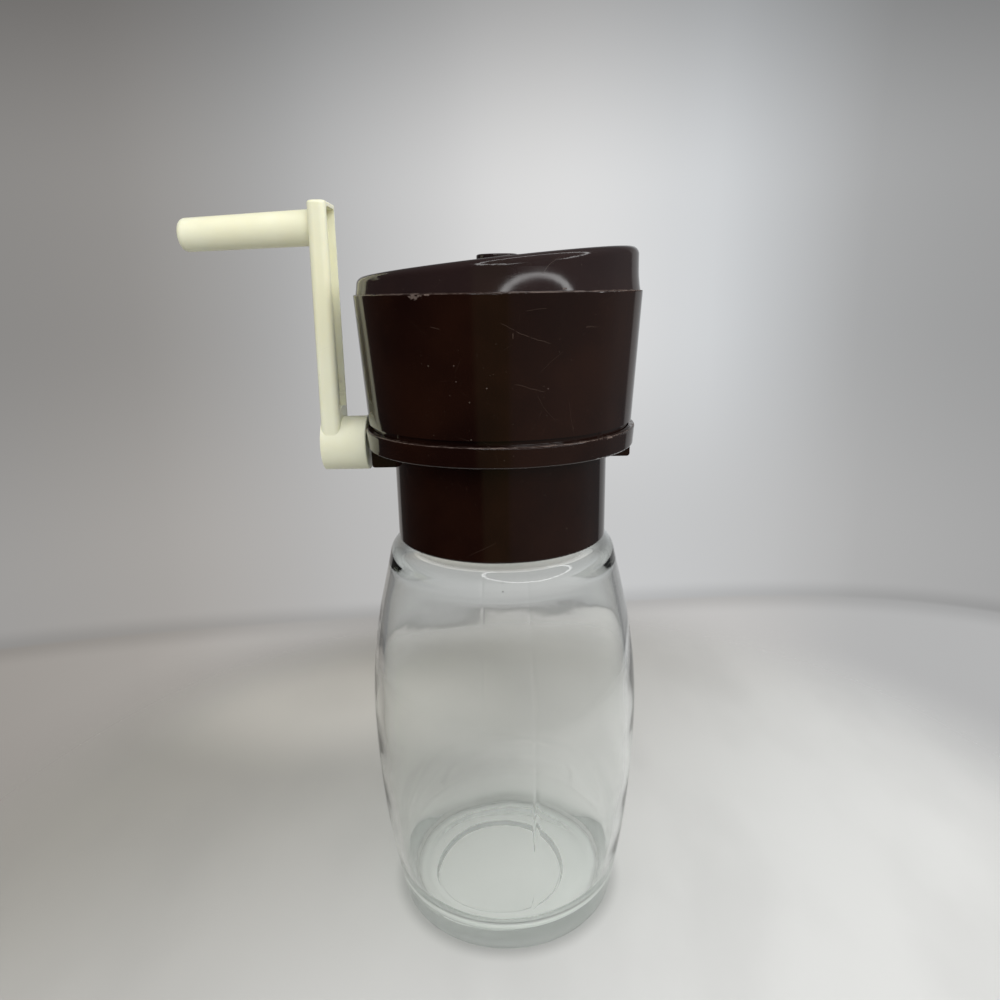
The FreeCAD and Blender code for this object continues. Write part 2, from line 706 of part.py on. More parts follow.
def head_cone(name, x, y):
    """The space of a countersunk head that is flush with the ring's underside."""
    cone = doc.addObject("Part::Cone", name)
    bind(cone, Radius1=size.screw_head_radius, Radius2=size.screw_radius,
         Height=size.screw_head_radius - size.screw_radius)
    return place(cone, x, y, ring_underside)


def make_screw_collar():
    """The moulding that screws on the jar and carries everything else."""
    far_end = throat_half_length + size.throat_wall
    far_side = throat_half_width + size.throat_wall
    skirt_middle = (collar_bore + collar_radius) / 2
    pads = common_part("comb_pads", [
        box("comb_pad_block", (-far_end, -comb_outer_edge, deck_underside),
            (far_end, comb_outer_edge, comb_underside)),
        upright_rod("comb_pad_limit", skirt_middle, 0, 0, deck_underside, comb_underside),
    ])
    ends = []
    for side, label in ((-1, "left"), (1, "right")):
        low, high = (throat_half_length, far_end) if side > 0 else (-far_end, -throat_half_length)
        ends.append(box(f"throat_wall_{label}", (low, -far_side, deck_underside),
                        (high, far_side, ring_floor_top)))
    left = bearing_block("left_block", -1, size.left_bush_radius + size.left_block_wall)
    right = bearing_block("right_block", 1, size.right_bush_radius + size.right_block_wall)
    ridge_start = size.jar_shoulder_height + size.jar_thread_start - size.thread_pitch / 2
    ridge = neck_ridge("collar_thread", size.thread_pitch, size.collar_thread_turns,
                       size.collar_thread_rib, collar_bore, ridge_start)
    solid = joined("collar_solid", [collar_shell(), left, right, ridge, pads] + ends)
    relief = bush_flange_end - size.shoulder_width - size.throat_wall
    cutters = [box("throat_opening", (-throat_half_length, -throat_half_width, lip_height),
                   (throat_half_length, throat_half_width, hopper_floor_top))]
    cutters += bearing_seat("left_seat", -1, size.left_bush_radius, block_end, bush_flange_end, relief)
    mouth = size.left_bush_radius + size.seat_clearance
    cutters.append(cross_rod("left_mouth_round", mouth, hub_face, -block_end, shaft_height))
    cutters.append(box("left_mouth_slot", (hub_face, -mouth, shaft_height),
                       (-block_end, mouth, hopper_step)))
    beyond_ring = ring_radius + size.crank_clearance
    cutters.append(box("ring_flat_space", (-beyond_ring, -size.block_width, deck_top),
                       (-ring_flat, size.block_width, hopper_step)))
    cutters += bearing_seat("right_seat", 1, size.right_bush_radius, right_bush_end, right_flange_end,
                            right_flange_end)
    for number, (x, y) in enumerate(screw_places(), start=1):
        cutters.append(upright_rod(f"ring_hole_{number}", passing_radius, x, y,
                                   ring_underside, ring_floor_top))
        cutters.append(head_cone(f"ring_countersink_{number}", x, y))
    for number, (x, y) in enumerate(comb_screw_places(), start=1):
        cutters.append(upright_rod(f"comb_pilot_{number}", tapped_radius, x, y,
                                   comb_underside - size.comb_screw_length, comb_underside))
    return cut_away("screw_collar", solid, cutters)


# Hopper
def hopper_shell():
    """The turned part of the hopper: flared wall, sloping floor and foot."""
    funnel_top = hopper_floor_top + size.funnel_rise
    wall_share = (funnel_top - hopper_step) / size.hopper_wall_height
    wall_inside = hopper_foot_radius - size.hopper_wall + size.hopper_flare * wall_share
    slope = size.funnel_rise / (wall_inside - size.funnel_radius)
    points = [
        (0, hopper_floor_top),
        (size.funnel_radius, hopper_floor_top),
        (wall_inside, funnel_top),
        (hopper_rim_radius - size.hopper_wall, rim_height),
        (hopper_rim_radius, rim_height),
        (hopper_foot_radius, hopper_step),
        (spigot_outside, hopper_step),
        (spigot_outside, ring_floor_top),
        (spigot_inside, ring_floor_top),
        (spigot_inside, hopper_floor_underside + slope * (spigot_inside - size.funnel_radius)),
        (size.funnel_radius, hopper_floor_underside),
        (0, hopper_floor_underside),
    ]
    body = new_body("hopper_shell")
    sketch = new_sketch(body, "hopper_outline", "XZ_Plane")
    draw_outline(sketch, points)
    turn(body, sketch, "V_Axis")
    round_edges(body, "hopper_corner", size.funnel_round, ring_at(wall_inside, funnel_top))
    round_edges(body, "hopper_rim_edge", size.hopper_rim_round, ring_at(hopper_rim_radius, rim_height))
    return body


def make_hopper():
    """The cup that holds the spices, with the saddles that close the bearings."""
    chute_underside = ring_floor_top + size.chute_gap
    half_block = size.block_width / 2
    solids = [
        hopper_shell(),
        box("chute_outside",
            (-chute_half_length - size.chute_wall, -chute_half_width - size.chute_wall, chute_underside),
            (chute_half_length + size.chute_wall, chute_half_width + size.chute_wall, hopper_floor_top)),
        box("left_saddle", (-spigot_inside - size.seat_clearance, -half_block, chute_underside),
            (-chute_half_length, half_block, hopper_floor_top)),
        box("right_saddle", (chute_half_length, -half_block, chute_underside),
            (spigot_inside + size.seat_clearance, half_block, hopper_floor_top)),
    ]
    skirt_foot = comb_underside + size.comb_thickness + size.chute_gap
    for side, label in ((-1, "front"), (1, "back")):
        near, far = side * chute_half_width, side * (chute_half_width + size.chute_wall)
        low, high = (near, far) if side > 0 else (far, near)
        solids.append(box(f"chute_skirt_{label}", (-chute_half_length, low, skirt_foot),
                          (chute_half_length, high, hopper_floor_top)))
    tongue = size.left_bush_radius - size.spigot_clearance
    solids.append(box("left_tongue", (-ring_flat + size.seat_clearance, -tongue, ring_floor_top),
                      (-spigot_inside, tongue, hopper_step + size.hopper_wall)))
    for number, (x, y) in enumerate(screw_places(), start=1):
        solids.append(upright_rod(f"hopper_boss_{number}", size.hopper_boss_radius, x, y, ring_floor_top,
                                  ring_floor_top + size.hopper_boss_height))
    cutters = [box("hopper_opening", (-chute_half_length, -chute_half_width, ring_underside),
                   (chute_half_length, chute_half_width, hopper_floor_top + size.chute_gap))]
    clear_radius = size.seat_clearance + size.spigot_clearance
    cutters.append(cross_rod("left_sleeve_cover", size.left_bush_radius + clear_radius,
                             hub_face, -bush_flange_start, shaft_height))
    left_flange = size.left_bush_radius + size.bush_flange + clear_radius
    right_flange = size.right_bush_radius + size.bush_flange + clear_radius
    cutters.append(cross_rod("left_flange_cover", left_flange, -bush_flange_start - clear_radius,
                             -bush_flange_end + clear_radius, shaft_height))
    cutters.append(cross_rod("shaft_cover", size.shoulder_radius + clear_radius,
                             -bush_flange_end, right_flange_end, shaft_height))
    cutters.append(cross_rod("right_flange_cover", right_flange, right_flange_end - clear_radius,
                             right_flange_start + clear_radius, shaft_height))
    cutters.append(cross_rod("right_sleeve_cover", size.right_bush_radius + clear_radius,
                             right_flange_start, right_bush_end + clear_radius, shaft_height))
    for number, (x, y) in enumerate(screw_places(), start=1):
        cutters.append(upright_rod(f"hopper_pilot_{number}", tapped_radius, x, y, ring_floor_top,
                                   ring_underside + size.hopper_screw_length + size.clip_play))
    return cut_away("hopper", joined("hopper_solid", solids), cutters)


# Lid
def slanted_plug(name, inset, foot, foot_radius, flared):
    """A round plug whose top slants up along +X. A flared one has a hollow foot and a rounded top edge."""
    top = rim_height + size.lid_height - inset / cosine(size.lid_slope)
    tall = top + foot_radius * tangent(size.lid_slope)
    points, arcs = [(0, foot), (foot_radius, foot)], {}
    low, wide = foot, foot_radius
    if flared:
        curve, lean = size.lid_flare_curve, size.lid_flare_curve * sine(size.lid_draft)
        reach = lean + size.lid_flare_height
        low = foot + size.lid_flare_height
        wide = foot_radius - curve * cosine(size.lid_draft) + root(curve * curve - reach * reach)
        points.append((wide, low))
        arcs[1] = -curve
    points += [(wide - (tall - low) * tangent(size.lid_draft), tall), (0, tall)]
    body = new_body(name)
    sketch = new_sketch(body, name + "_outline", "XZ_Plane")
    draw_outline(sketch, points, arcs)
    turn(body, sketch, "V_Axis")
    reach = foot_radius + size.lid_wall
    rise = reach * tangent(size.lid_slope)
    slope = new_sketch(body, name + "_slope", "XZ_Plane", -reach)
    draw_outline(slope, [(-reach, top - rise), (reach, top + rise),
                         (reach, tall + reach), (-reach, tall + reach)])
    doc.recompute()
    before = body.Shape.Volume
    cutter = body.newObject("PartDesign::Pocket", name + "_slanted")
    cutter.Profile = slope
    cutter.Reversed = True
    bind(cutter, Length=2 * reach)
    doc.recompute()
    if body.Shape.Volume >= before:
        raise RuntimeError(f"{name} isn't slanted")
    if flared:
        def wanted(edge):
            tops = [abs(vertex.Point.z - top.number - vertex.Point.x * rise.number / reach.number)
                    for vertex in edge.Vertexes]
            return max(tops) < 1e-3
        round_edges(body, name + "_edge", size.lid_edge_round, wanted)
    return body


def make_lid():
    """A slanted cap with a plug that goes into the hopper and a low button on top."""
    radius = hopper_rim_radius - size.lid_setback
    plug_radius = hopper_rim_radius - size.hopper_wall - size.lid_plug_clearance
    plug_inside = plug_radius - size.lid_plug_wall
    foot = rim_height - size.lid_plug_depth
    cap = slanted_plug("lid_cap", as_size(0), rim_height, radius, True)
    core = slanted_plug("lid_core", size.lid_wall, foot, plug_inside, False)
    plug = upright_rod("lid_plug", plug_radius, 0, 0, foot, rim_height + size.lid_wall)
    button_top = rim_height + size.lid_height + size.lid_button_height
    button = new_body("lid_button")
    sketch = new_sketch(button, "button_outline", "XY_Plane")
    draw_circle(sketch, (0, 0), size.lid_button_radius)
    button_length = size.lid_button_height + size.lid_wall / 2
    pad(button, sketch, button_length)
    round_edges(button, "button_edge", size.lid_button_round,
                ring_at(size.lid_button_radius, button_length))
    place(button, 0, 0, button_top - button_length)
    outside = joined("lid_outside", [cap, plug])
    hollow = cut_away("lid_hollow", outside, [core])
    return joined("lid", [hollow, button])


# Crank
def make_crank():
    """Hub, arm and grip as one moulding, with its origin on the shaft's axis at the hub's outer face."""
    half, throw, thick = size.crank_arm_width / 2, size.crank_throw, size.crank_arm_thickness
    corner, top = size.crank_channel_corner, throw + size.crank_arm_tip
    inner_face = size.crank_arm_setback + thick
    body = new_body("crank_moulding")
    arm = new_sketch(body, "crank_arm", "XZ_Plane", -half)
    draw_outline(arm, [(size.crank_arm_foot_step, 0), (size.crank_arm_foot_thickness, 0),
                       (inner_face, top), (size.crank_arm_setback, top)])
    pad(body, arm, size.crank_arm_width)

    def arm_side(edge):
        heights = [vertex.Point.z for vertex in edge.Vertexes]
        return max(heights) - min(heights) > throw.number
    round_edges(body, "crank_arm_sides", size.crank_arm_round, arm_side)

    def arm_top(edge):
        return all(abs(vertex.Point.z - top.number) < 1e-4 for vertex in edge.Vertexes)
    round_edges(body, "crank_arm_top", size.crank_arm_top_round, arm_top)
    hub = new_sketch(body, "crank_hub", "YZ_Plane")
    draw_circle(hub, (0, 0), size.crank_hub_radius)
    pad(body, hub, size.crank_hub_length)
    round_edges(body, "crank_hub_edge", size.crank_hub_round,
                disc_edge_at(size.crank_hub_radius, size.crank_hub_length))
    side = half - size.crank_channel_wall
    foot, head = size.crank_channel_foot, top - size.crank_channel_end
    low = root(foot * foot - side * side)
    channel = new_sketch(body, "crank_channel", "YZ_Plane", inner_face)
    draw_outline(channel, [(-side, low), (side, low), (side, head - corner), (side - corner, head),
                           (corner - side, head), (-side, head - corner)],
                 {0: -foot, 2: corner, 4: corner})
    sink(body, channel, size.crank_channel_depth)
    grip = new_sketch(body, "crank_grip", "XZ_Plane")
    grip_face = size.crank_arm_setback * throw / top
    bind(grip, **{"AttachmentOffset.Base.x": grip_face, "AttachmentOffset.Base.y": throw,
                  "AttachmentOffset.Rotation.Angle": size.grip_droop})
    tip, end = size.grip_tip_round, -size.grip_length
    draw_outline(grip, [(end, 0), (thick / 3, 0), (thick / 3, size.grip_root_radius),
                        (0, size.grip_root_radius), (end + tip, size.grip_tip_radius),
                        (end, size.grip_tip_radius - tip)], {4: tip})
    turn(body, grip, "H_Axis")
    socket = new_sketch(body, "crank_socket", "YZ_Plane", size.crank_hub_length)
    draw_square(socket, size.crank_square / 2 + size.seat_clearance)
    sink(body, socket, size.crank_square_length + size.seat_clearance)
    place(body, crank_face, 0, shaft_height)
    outside = crank_face - size.crank_clearance
    hole = cross_rod("crank_screw_hole", passing_radius, outside,
                     hub_face - size.crank_square_length, shaft_height)
    recess = cross_rod("crank_screw_seat", size.screw_head_radius + size.screw_hole_clearance,
                       outside, crank_face + size.crank_screw_recess, shaft_height)
    return cut_away("crank", body, [hole, recess])


# Shaft and its bearings
def make_drive_shaft():
    """The cross shaft: square end, journal, two shoulders, square for the rotor, and pilot."""
    square_start = hub_face - size.crank_square_length
    crank_half, rotor_half = size.crank_square / 2, size.rotor_square / 2
    thrust_start = -bush_flange_end + size.washer_play
    pilot_start = clip_end + size.clip_play
    solids = [
        box("crank_square_end", (square_start, -crank_half, shaft_height - crank_half),
            (hub_face, crank_half, shaft_height + crank_half)),
        cross_rod("journal", size.journal_radius, hub_face, rotor_start, shaft_height),
        cross_rod("thrust_shoulder", size.shoulder_radius, thrust_start, thrust_start + size.shoulder_width,
                  shaft_height),
        cross_rod("rotor_shoulder", size.shoulder_radius, rotor_start - size.shoulder_width, rotor_start,
                  shaft_height),
        box("rotor_square_bar", (rotor_start, -rotor_half, shaft_height - rotor_half),
            (pilot_start + size.clip_thickness, rotor_half, shaft_height + rotor_half)),
        cross_rod("pilot", size.pilot_radius, pilot_start, shaft_end, shaft_height),
    ]
    groove = cut_away("clip_groove",
                      cross_rod("clip_groove_outside", size.rotor_square, clip_start - size.clip_play,
                                clip_end + size.clip_play, shaft_height),
                      [cross_rod("clip_groove_root", size.clip_groove_radius, clip_start - size.clip_play,
                                 clip_end + size.clip_play, shaft_height)])
    tapping = cross_rod("crank_tapping", tapped_radius, square_start,
                        crank_face + size.crank_screw_recess + size.crank_screw_length + size.clip_play,
                        shaft_height)
    return cut_away("drive_shaft", joined("shaft_solid", solids), [groove, tapping])


def make_bush(name, side, radius, bore, sleeve_end):
    """A flanged plain bearing, with its flange on the rotor's side."""
    flange_start = sleeve_end - size.bush_length
    flange_end = flange_start - size.bush_flange_width
    spans = [("sleeve", radius, flange_start, sleeve_end), ("flange", radius + size.bush_flange, flange_end,
                                                            flange_start)]
    solids = []
    for part, outside, near, far in spans:
        start, end = (near, far) if side > 0 else (-far, -near)
        solids.append(cross_rod(f"{name}_{part}", outside, start, end, shaft_height))
    start, end = (flange_end, sleeve_end) if side > 0 else (-sleeve_end, -flange_end)
    hole = cross_rod(name + "_bore", bore + size.running_clearance, start, end, shaft_height)
    return cut_away(name, joined(name + "_solid", solids), [hole])


def make_crank_washer():
    """A flat washer between the crank's hub and the left bush."""
    start, end = hub_face + size.washer_play, -block_end - size.washer_play
    disc = cross_rod("washer_disc", size.washer_radius, start, end, shaft_height)
    hole = cross_rod("washer_hole", size.journal_radius + size.running_clearance, start, end, shaft_height)
    return cut_away("crank_washer", disc, [hole])


def make_rotor_clip():
    """The open clip that holds the blades on the shaft."""
    body = new_body("rotor_clip")
    sketch = new_sketch(body, "clip_outline", "YZ_Plane")
    outside, inside = size.clip_radius, size.clip_groove_radius + size.seat_clearance
    mouth = size.clip_mouth / 2
    outer_drop = root(outside * outside - mouth * mouth)
    inner_drop = root(inside * inside - mouth * mouth)
    points = [(-mouth, -inner_drop), (-mouth, -outer_drop), (-outside, 0), (0, outside), (outside, 0),
              (mouth, -outer_drop), (mouth, -inner_drop), (inside, 0), (0, inside), (-inside, 0)]
    arcs = {1: -outside, 2: -outside, 3: -outside, 4: -outside, 6: inside, 7: inside, 8: inside, 9: inside}
    draw_outline(sketch, points, arcs)
    pad(body, sketch, size.clip_thickness)
    return place(body, clip_start, 0, shaft_height)


# Rotor
def make_blade(number):
    """A four toothed star. Every second one is turned over, so that the teeth are staggered."""
    turned_over = -1 if number % 2 else 1
    half = size.blade_tooth_half_angle
    points = []
    for tooth in range(4):
        middle = 90 * tooth + turned_over * size.blade_stagger
        points.append(polar(size.blade_root_radius, middle - 2 * half))
        points.append(polar(blade_tip_radius, middle - half))
        points.append(polar(blade_tip_radius, middle + half))
        points.append(polar(size.blade_root_radius, middle + 2 * half))
    body = new_body(f"rotor_blade_{number + 1}")
    sketch = new_sketch(body, f"blade_{number + 1}_outline", "YZ_Plane")
    draw_outline(sketch, points)
    draw_square(sketch, size.rotor_square / 2 + size.seat_clearance)
    pad(body, sketch, size.blade_thickness)
    return place(body, rotor_start + number * rotor_pitch, 0, shaft_height)


def make_spacer(number):
    """A round spacer between two blades."""
    body = new_body(f"rotor_spacer_{number + 1}")
    sketch = new_sketch(body, f"spacer_{number + 1}_outline", "YZ_Plane")
    draw_circle(sketch, (0, 0), size.spacer_radius)
    draw_square(sketch, size.rotor_square / 2 + size.seat_clearance)
    pad(body, sketch, spacer_length)
    return place(body, rotor_start + number * rotor_pitch + size.blade_thickness, 0, shaft_height)


# Fixed combs
def make_comb(name, side, step):
    """A toothed strip beside the rotor. step 1 fills every gap between the blades, 2 every second one."""
    length, tip = comb_half_length, size.spacer_radius + size.comb_tip_gap
    half = size.comb_finger / 2
    inner, outer = side * comb_inner_edge, side * comb_outer_edge
    points = [(length, inner), (length, outer), (-length, outer), (-length, inner)]
    for gap in range(0, int(size.blade_count.number) - 1, step):
        middle = rotor_start + gap * rotor_pitch + size.blade_thickness + spacer_length / 2
        points += [(middle - half, inner), (middle - half, side * tip),
                   (middle + half, side * tip), (middle + half, inner)]
    body = new_body(name)
    sketch = new_sketch(body, name + "_outline", "XY_Plane")
    draw_outline(sketch, points)
    for x, y in comb_screw_places():
        if y.number * side > 0:
            draw_circle(sketch, (x, y), passing_radius)
    pad(body, sketch, size.comb_thickness)
    return place(body, 0, 0, comb_underside)


# Screws
def make_comb_screws():
    """Four pan head screws that hold the combs."""
    seat = comb_underside + size.comb_thickness
    screws = []
    for number, (x, y) in enumerate(comb_screw_places(), start=1):
        shank = upright_rod(f"comb_shank_{number}", size.screw_radius, x, y,
                            seat - size.comb_screw_length + size.clip_play, seat)
        head_top = seat + size.screw_head_height
        head = upright_rod(f"comb_head_{number}", size.screw_head_radius, x, y, seat, head_top)
        slot = box(f"comb_slot_{number}",
                   (x - size.screw_head_radius, y - size.screw_slot / 2, head_top - size.screw_slot_depth),
                   (x + size.screw_head_radius, y + size.screw_slot / 2, head_top))
        solid = joined(f"comb_screw_solid_{number}", [shank, head])
        screws.append(cut_away(f"comb_screw_{number}", solid, [slot]))
    return grouped("comb_screws", screws)


def make_hopper_screws():
    """Four countersunk screws from below the ring into the hopper."""
    screws = []
    for number, (x, y) in enumerate(screw_places(), start=1):
        cone = head_cone(f"hopper_head_{number}", x, y)
        shank = upright_rod(f"hopper_shank_{number}", size.screw_radius, x, y, ring_underside,
                            ring_underside + size.hopper_screw_length)
        slot = box(f"hopper_slot_{number}",
                   (x - size.screw_head_radius, y - size.screw_slot / 2, ring_underside),
                   (x + size.screw_head_radius, y + size.screw_slot / 2,
                    ring_underside + size.screw_slot_depth))
        solid = joined(f"hopper_screw_solid_{number}", [cone, shank])
        screws.append(cut_away(f"hopper_screw_{number}", solid, [slot]))
    return grouped("hopper_screws", screws)


def make_crank_screw():
    """The screw that holds the crank on the shaft, in a recess of the arm's outer face."""
    seat = crank_face + size.crank_screw_recess
    head_start = seat - size.screw_head_height
    head = cross_rod("crank_screw_head", size.screw_head_radius, head_start, seat, shaft_height)
    shank = cross_rod("crank_screw_shank", size.screw_radius, seat, seat + size.crank_screw_length,
                      shaft_height)
    slot = box("crank_screw_slot",
               (head_start, -size.screw_slot / 2, shaft_height - size.screw_head_radius),
               (head_start + size.screw_slot_depth, size.screw_slot / 2,
                shaft_height + size.screw_head_radius))
    return cut_away("crank_screw", joined("crank_screw_solid", [head, shank]), [slot])


def make_parts():
    """Build every piece of the mill."""
    blades = int(size.blade_count.number)
    parts = [
        make_glass_jar(),
        make_jar_gasket(),
        make_screw_collar(),
        make_hopper(),
        make_lid(),
        make_crank(),
        make_crank_screw(),
        make_crank_washer(),
        make_drive_shaft(),
        make_bush("left_bush", -1, size.left_bush_radius, size.journal_radius, block_end),
        make_bush("right_bush", 1, size.right_bush_radius, size.pilot_radius, right_bush_end),
        make_rotor_clip(),
        make_comb("coarse_comb", -1, 2),
        make_comb("fine_comb", 1, 1),
        make_comb_screws(),
        make_hopper_screws(),
    ]
    parts += [make_blade(number) for number in range(blades)]
    parts += [make_spacer(number) for number in range(blades - 1)]
    return parts


def check(parts):
    """Stop if an object failed or a piece has no valid solid."""
    for item in doc.Objects:
        if "Invalid" in item.State or "Error" in item.State:
            raise RuntimeError(f"{item.Label} failed: {item.State}")
    for item in parts:
        shape = item.Shape
        if shape.isNull() or not shape.isValid() or not shape.Solids:
            raise RuntimeError(f"{item.Label} has no valid solid")
        print(f"{item.Label}: {len(shape.Solids)} solid(s), {shape.Volume:.1f} mm3")


mill_parts = make_parts()
doc.recompute()
check(mill_parts)
os.makedirs("parts", exist_ok=True)
for piece in mill_parts:
    piece.Shape.exportStep(os.path.join("parts", piece.Label + ".step"))
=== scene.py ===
"""Looks of a hand cranked spice mill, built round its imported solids.

The glass jar is made here as a finer mesh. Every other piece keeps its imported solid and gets
its own finish. Lengths are in metres, but the jar's own are in millimetres.
"""

import logging
import math
from collections.abc import Iterable
from dataclasses import dataclass
from enum import Enum

import bpy
from mathutils import Matrix, Vector
from mathutils import noise as field_noise


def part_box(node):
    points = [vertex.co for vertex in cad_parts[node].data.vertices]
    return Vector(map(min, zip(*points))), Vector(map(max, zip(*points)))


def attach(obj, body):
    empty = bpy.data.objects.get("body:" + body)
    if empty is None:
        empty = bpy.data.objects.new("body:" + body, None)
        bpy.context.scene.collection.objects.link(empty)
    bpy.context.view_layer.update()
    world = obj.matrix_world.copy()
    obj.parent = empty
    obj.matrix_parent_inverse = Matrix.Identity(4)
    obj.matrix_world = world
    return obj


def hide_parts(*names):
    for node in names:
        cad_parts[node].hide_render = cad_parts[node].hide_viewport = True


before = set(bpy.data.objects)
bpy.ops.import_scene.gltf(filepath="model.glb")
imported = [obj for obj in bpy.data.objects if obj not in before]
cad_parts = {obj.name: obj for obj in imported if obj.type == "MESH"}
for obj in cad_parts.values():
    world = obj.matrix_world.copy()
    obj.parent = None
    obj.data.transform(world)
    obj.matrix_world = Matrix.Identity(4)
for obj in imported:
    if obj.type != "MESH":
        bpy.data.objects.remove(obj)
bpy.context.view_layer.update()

log = logging.getLogger("spice_mill")

MM = 0.001

Pair = tuple[float, float]
Triple = tuple[float, float, float]
Colour = Triple
Profile = list[Pair]
Socket = bpy.types.NodeSocket
Outputs = bpy.types.NodeOutputs
Feed = float | tuple | Socket


class Slot(Enum):
    """The record's material slots."""

    GLASS = "glass"
    SEAL = "seal"
    BROWN = "brown_plastic"
    IVORY = "ivory_plastic"
    BEARING = "bearing_plastic"
    STEEL = "steel"
    SCREW = "screw_steel"


class Body(Enum):
    """The bodies that pieces ride on."""

    JAR = "jar"
    SEAL = "seal"
    HEAD = "head"
    ROTOR = "rotor"
    CAP = "cap"


class Effect(Enum):
    """The shader groups that several finishes share, each with its inputs."""

    RIM_WEAR = ("Point", "Height", "Width", "Chipping")
    DUST = ("Point", "Cells", "Size", "Share")
    HAIRLINES = ("Point", "Cells", "Width", "Share")
    CHIPS = ("Point", "Centre", "Reach")
    MOULDED_SKIN = ("Point", "Ripple", "Grain")
    LONG_SCRATCH = ("Point", "Start", "End", "Width")


Effects = dict[Effect, bpy.types.NodeTree]


class Graph:
    """Adds nodes to one node tree and links them."""

    def __init__(self, tree: bpy.types.NodeTree) -> None:
        """Works on the tree of a material, a world or a group."""
        self.tree = tree
        self.point: Feed = (0.0, 0.0, 0.0)

    def feed(self, target: Socket, value: Feed) -> None:
        """Links a socket or sets a plain value.

        Args:
            target: the input socket.
            value: another node's output, or a number, vector or colour.
        """
        if isinstance(value, Socket):
            self.tree.links.new(value, target)
        else:
            target.default_value = (*value, 1.0) if target.type == "RGBA" else value

    def add(self, kind: str, inputs: dict | None = None, **settings: object) -> Outputs:
        """Adds one node.

        Args:
            kind: the node's type without its ShaderNode prefix.
            inputs: input names or numbers with their values.
            settings: attributes of the node.

        Returns:
            The node's outputs.
        """
        node = self.tree.nodes.new("ShaderNode" + kind)
        for name, value in settings.items():
            setattr(node, name, value)
        for key, value in (inputs or {}).items():
            self.feed(node.inputs[key], value)
        return node.outputs

    def math(self, operation: str, *values: Feed, clamp: bool = False) -> Socket:
        """Returns what a Math node makes of one to three numbers."""
        return self.add("Math", dict(enumerate(values)), operation=operation, use_clamp=clamp)[0]

    def times(self, *values: Feed) -> Socket:
        """Returns the product of two numbers, plus a third where it is given."""
        return self.math("MULTIPLY_ADD" if len(values) > 2 else "MULTIPLY", *values)

    def vector(self, operation: str, *values: Feed) -> Socket:
        """Returns the vector that a Vector Math node makes, or its number where it makes one."""
        number = operation in ("LENGTH", "DISTANCE", "DOT_PRODUCT")
        return self.add("VectorMath", dict(enumerate(values)), operation=operation)[int(number)]

    def scaled(self, vector: Feed, factor: Feed) -> Socket:
        """Returns the vector times a number."""
        return self.add("VectorMath", {0: vector, "Scale": factor}, operation="SCALE")[0]

    def split(self, vector: Feed) -> tuple[Socket, ...]:
        """Returns the x, y and z of a vector."""
        return tuple(self.add("SeparateXYZ", {0: vector}))

    def step(self, value: Feed, low: Feed, high: Feed, start: Feed = 0.0, end: Feed = 1.0) -> Socket:
        """Returns a number that goes smoothly from start to end while the value goes from low to high."""
        inputs = {0: value, 1: low, 2: high, 3: start, 4: end}
        return self.add("MapRange", inputs, interpolation_type="SMOOTHSTEP")[0]

    def mix(self, factor: Feed, first: Feed, second: Feed) -> Socket:
        """Returns a mix of two colours, from the first at 0 to the second at 1."""
        return self.add("Mix", {0: factor, 6: first, 7: second}, data_type="RGBA")[2]

    def noise(self, scale: float, detail: float = 2.0, roughness: float = 0.5,
              stretch: Triple = (1.0, 1.0, 1.0)) -> Socket:
        """Returns a soft random field of about 0.5 at the graph's point.

        Args:
            scale: its waves in a metre.
            detail: how many finer layers it has.
            roughness: how strong the finer layers are.
            stretch: what the point's x, y and z are multiplied by.

        Returns:
            The field.
        """
        point = self.point if stretch == (1.0, 1.0, 1.0) else self.vector("MULTIPLY", self.point, stretch)
        inputs = {"Vector": point, "Scale": scale, "Detail": detail, "Roughness": roughness}
        return self.add("TexNoise", inputs)[0]

    def sway(self, *noise: float) -> Socket:
        """Returns the same random field about zero."""
        return self.math("SUBTRACT", self.noise(*noise), 0.5)

    def strongest(self, *masks: tuple[Feed, float]) -> Feed:
        """Finds the largest of several masks.

        Args:
            masks: the masks, each with its strength.

        Returns:
            The largest mask times its strength.
        """
        most = 0.0
        for mask, strength in masks:
            most = self.math("MAXIMUM", most, self.times(mask, strength))
        return most

    def ramp(self, value: Feed, stops: Iterable[tuple[float, Colour]], curve: str = "LINEAR") -> Socket:
        """Reads a colour from a row of stops.

        Args:
            value: the place on the row, 0 to 1.
            stops: places with their colours, in order.
            curve: how the colours between stops are found.

        Returns:
            The colour.
        """
        node = self.tree.nodes.new("ShaderNodeValToRGB")
        self.feed(node.inputs[0], value)
        row = node.color_ramp
        row.interpolation = curve
        for number, (place, colour) in enumerate(stops):
            stop = row.elements[number] if number < 2 else row.elements.new(place)
            stop.position = place
            stop.color = (*colour, 1.0)
        return node.outputs[0]


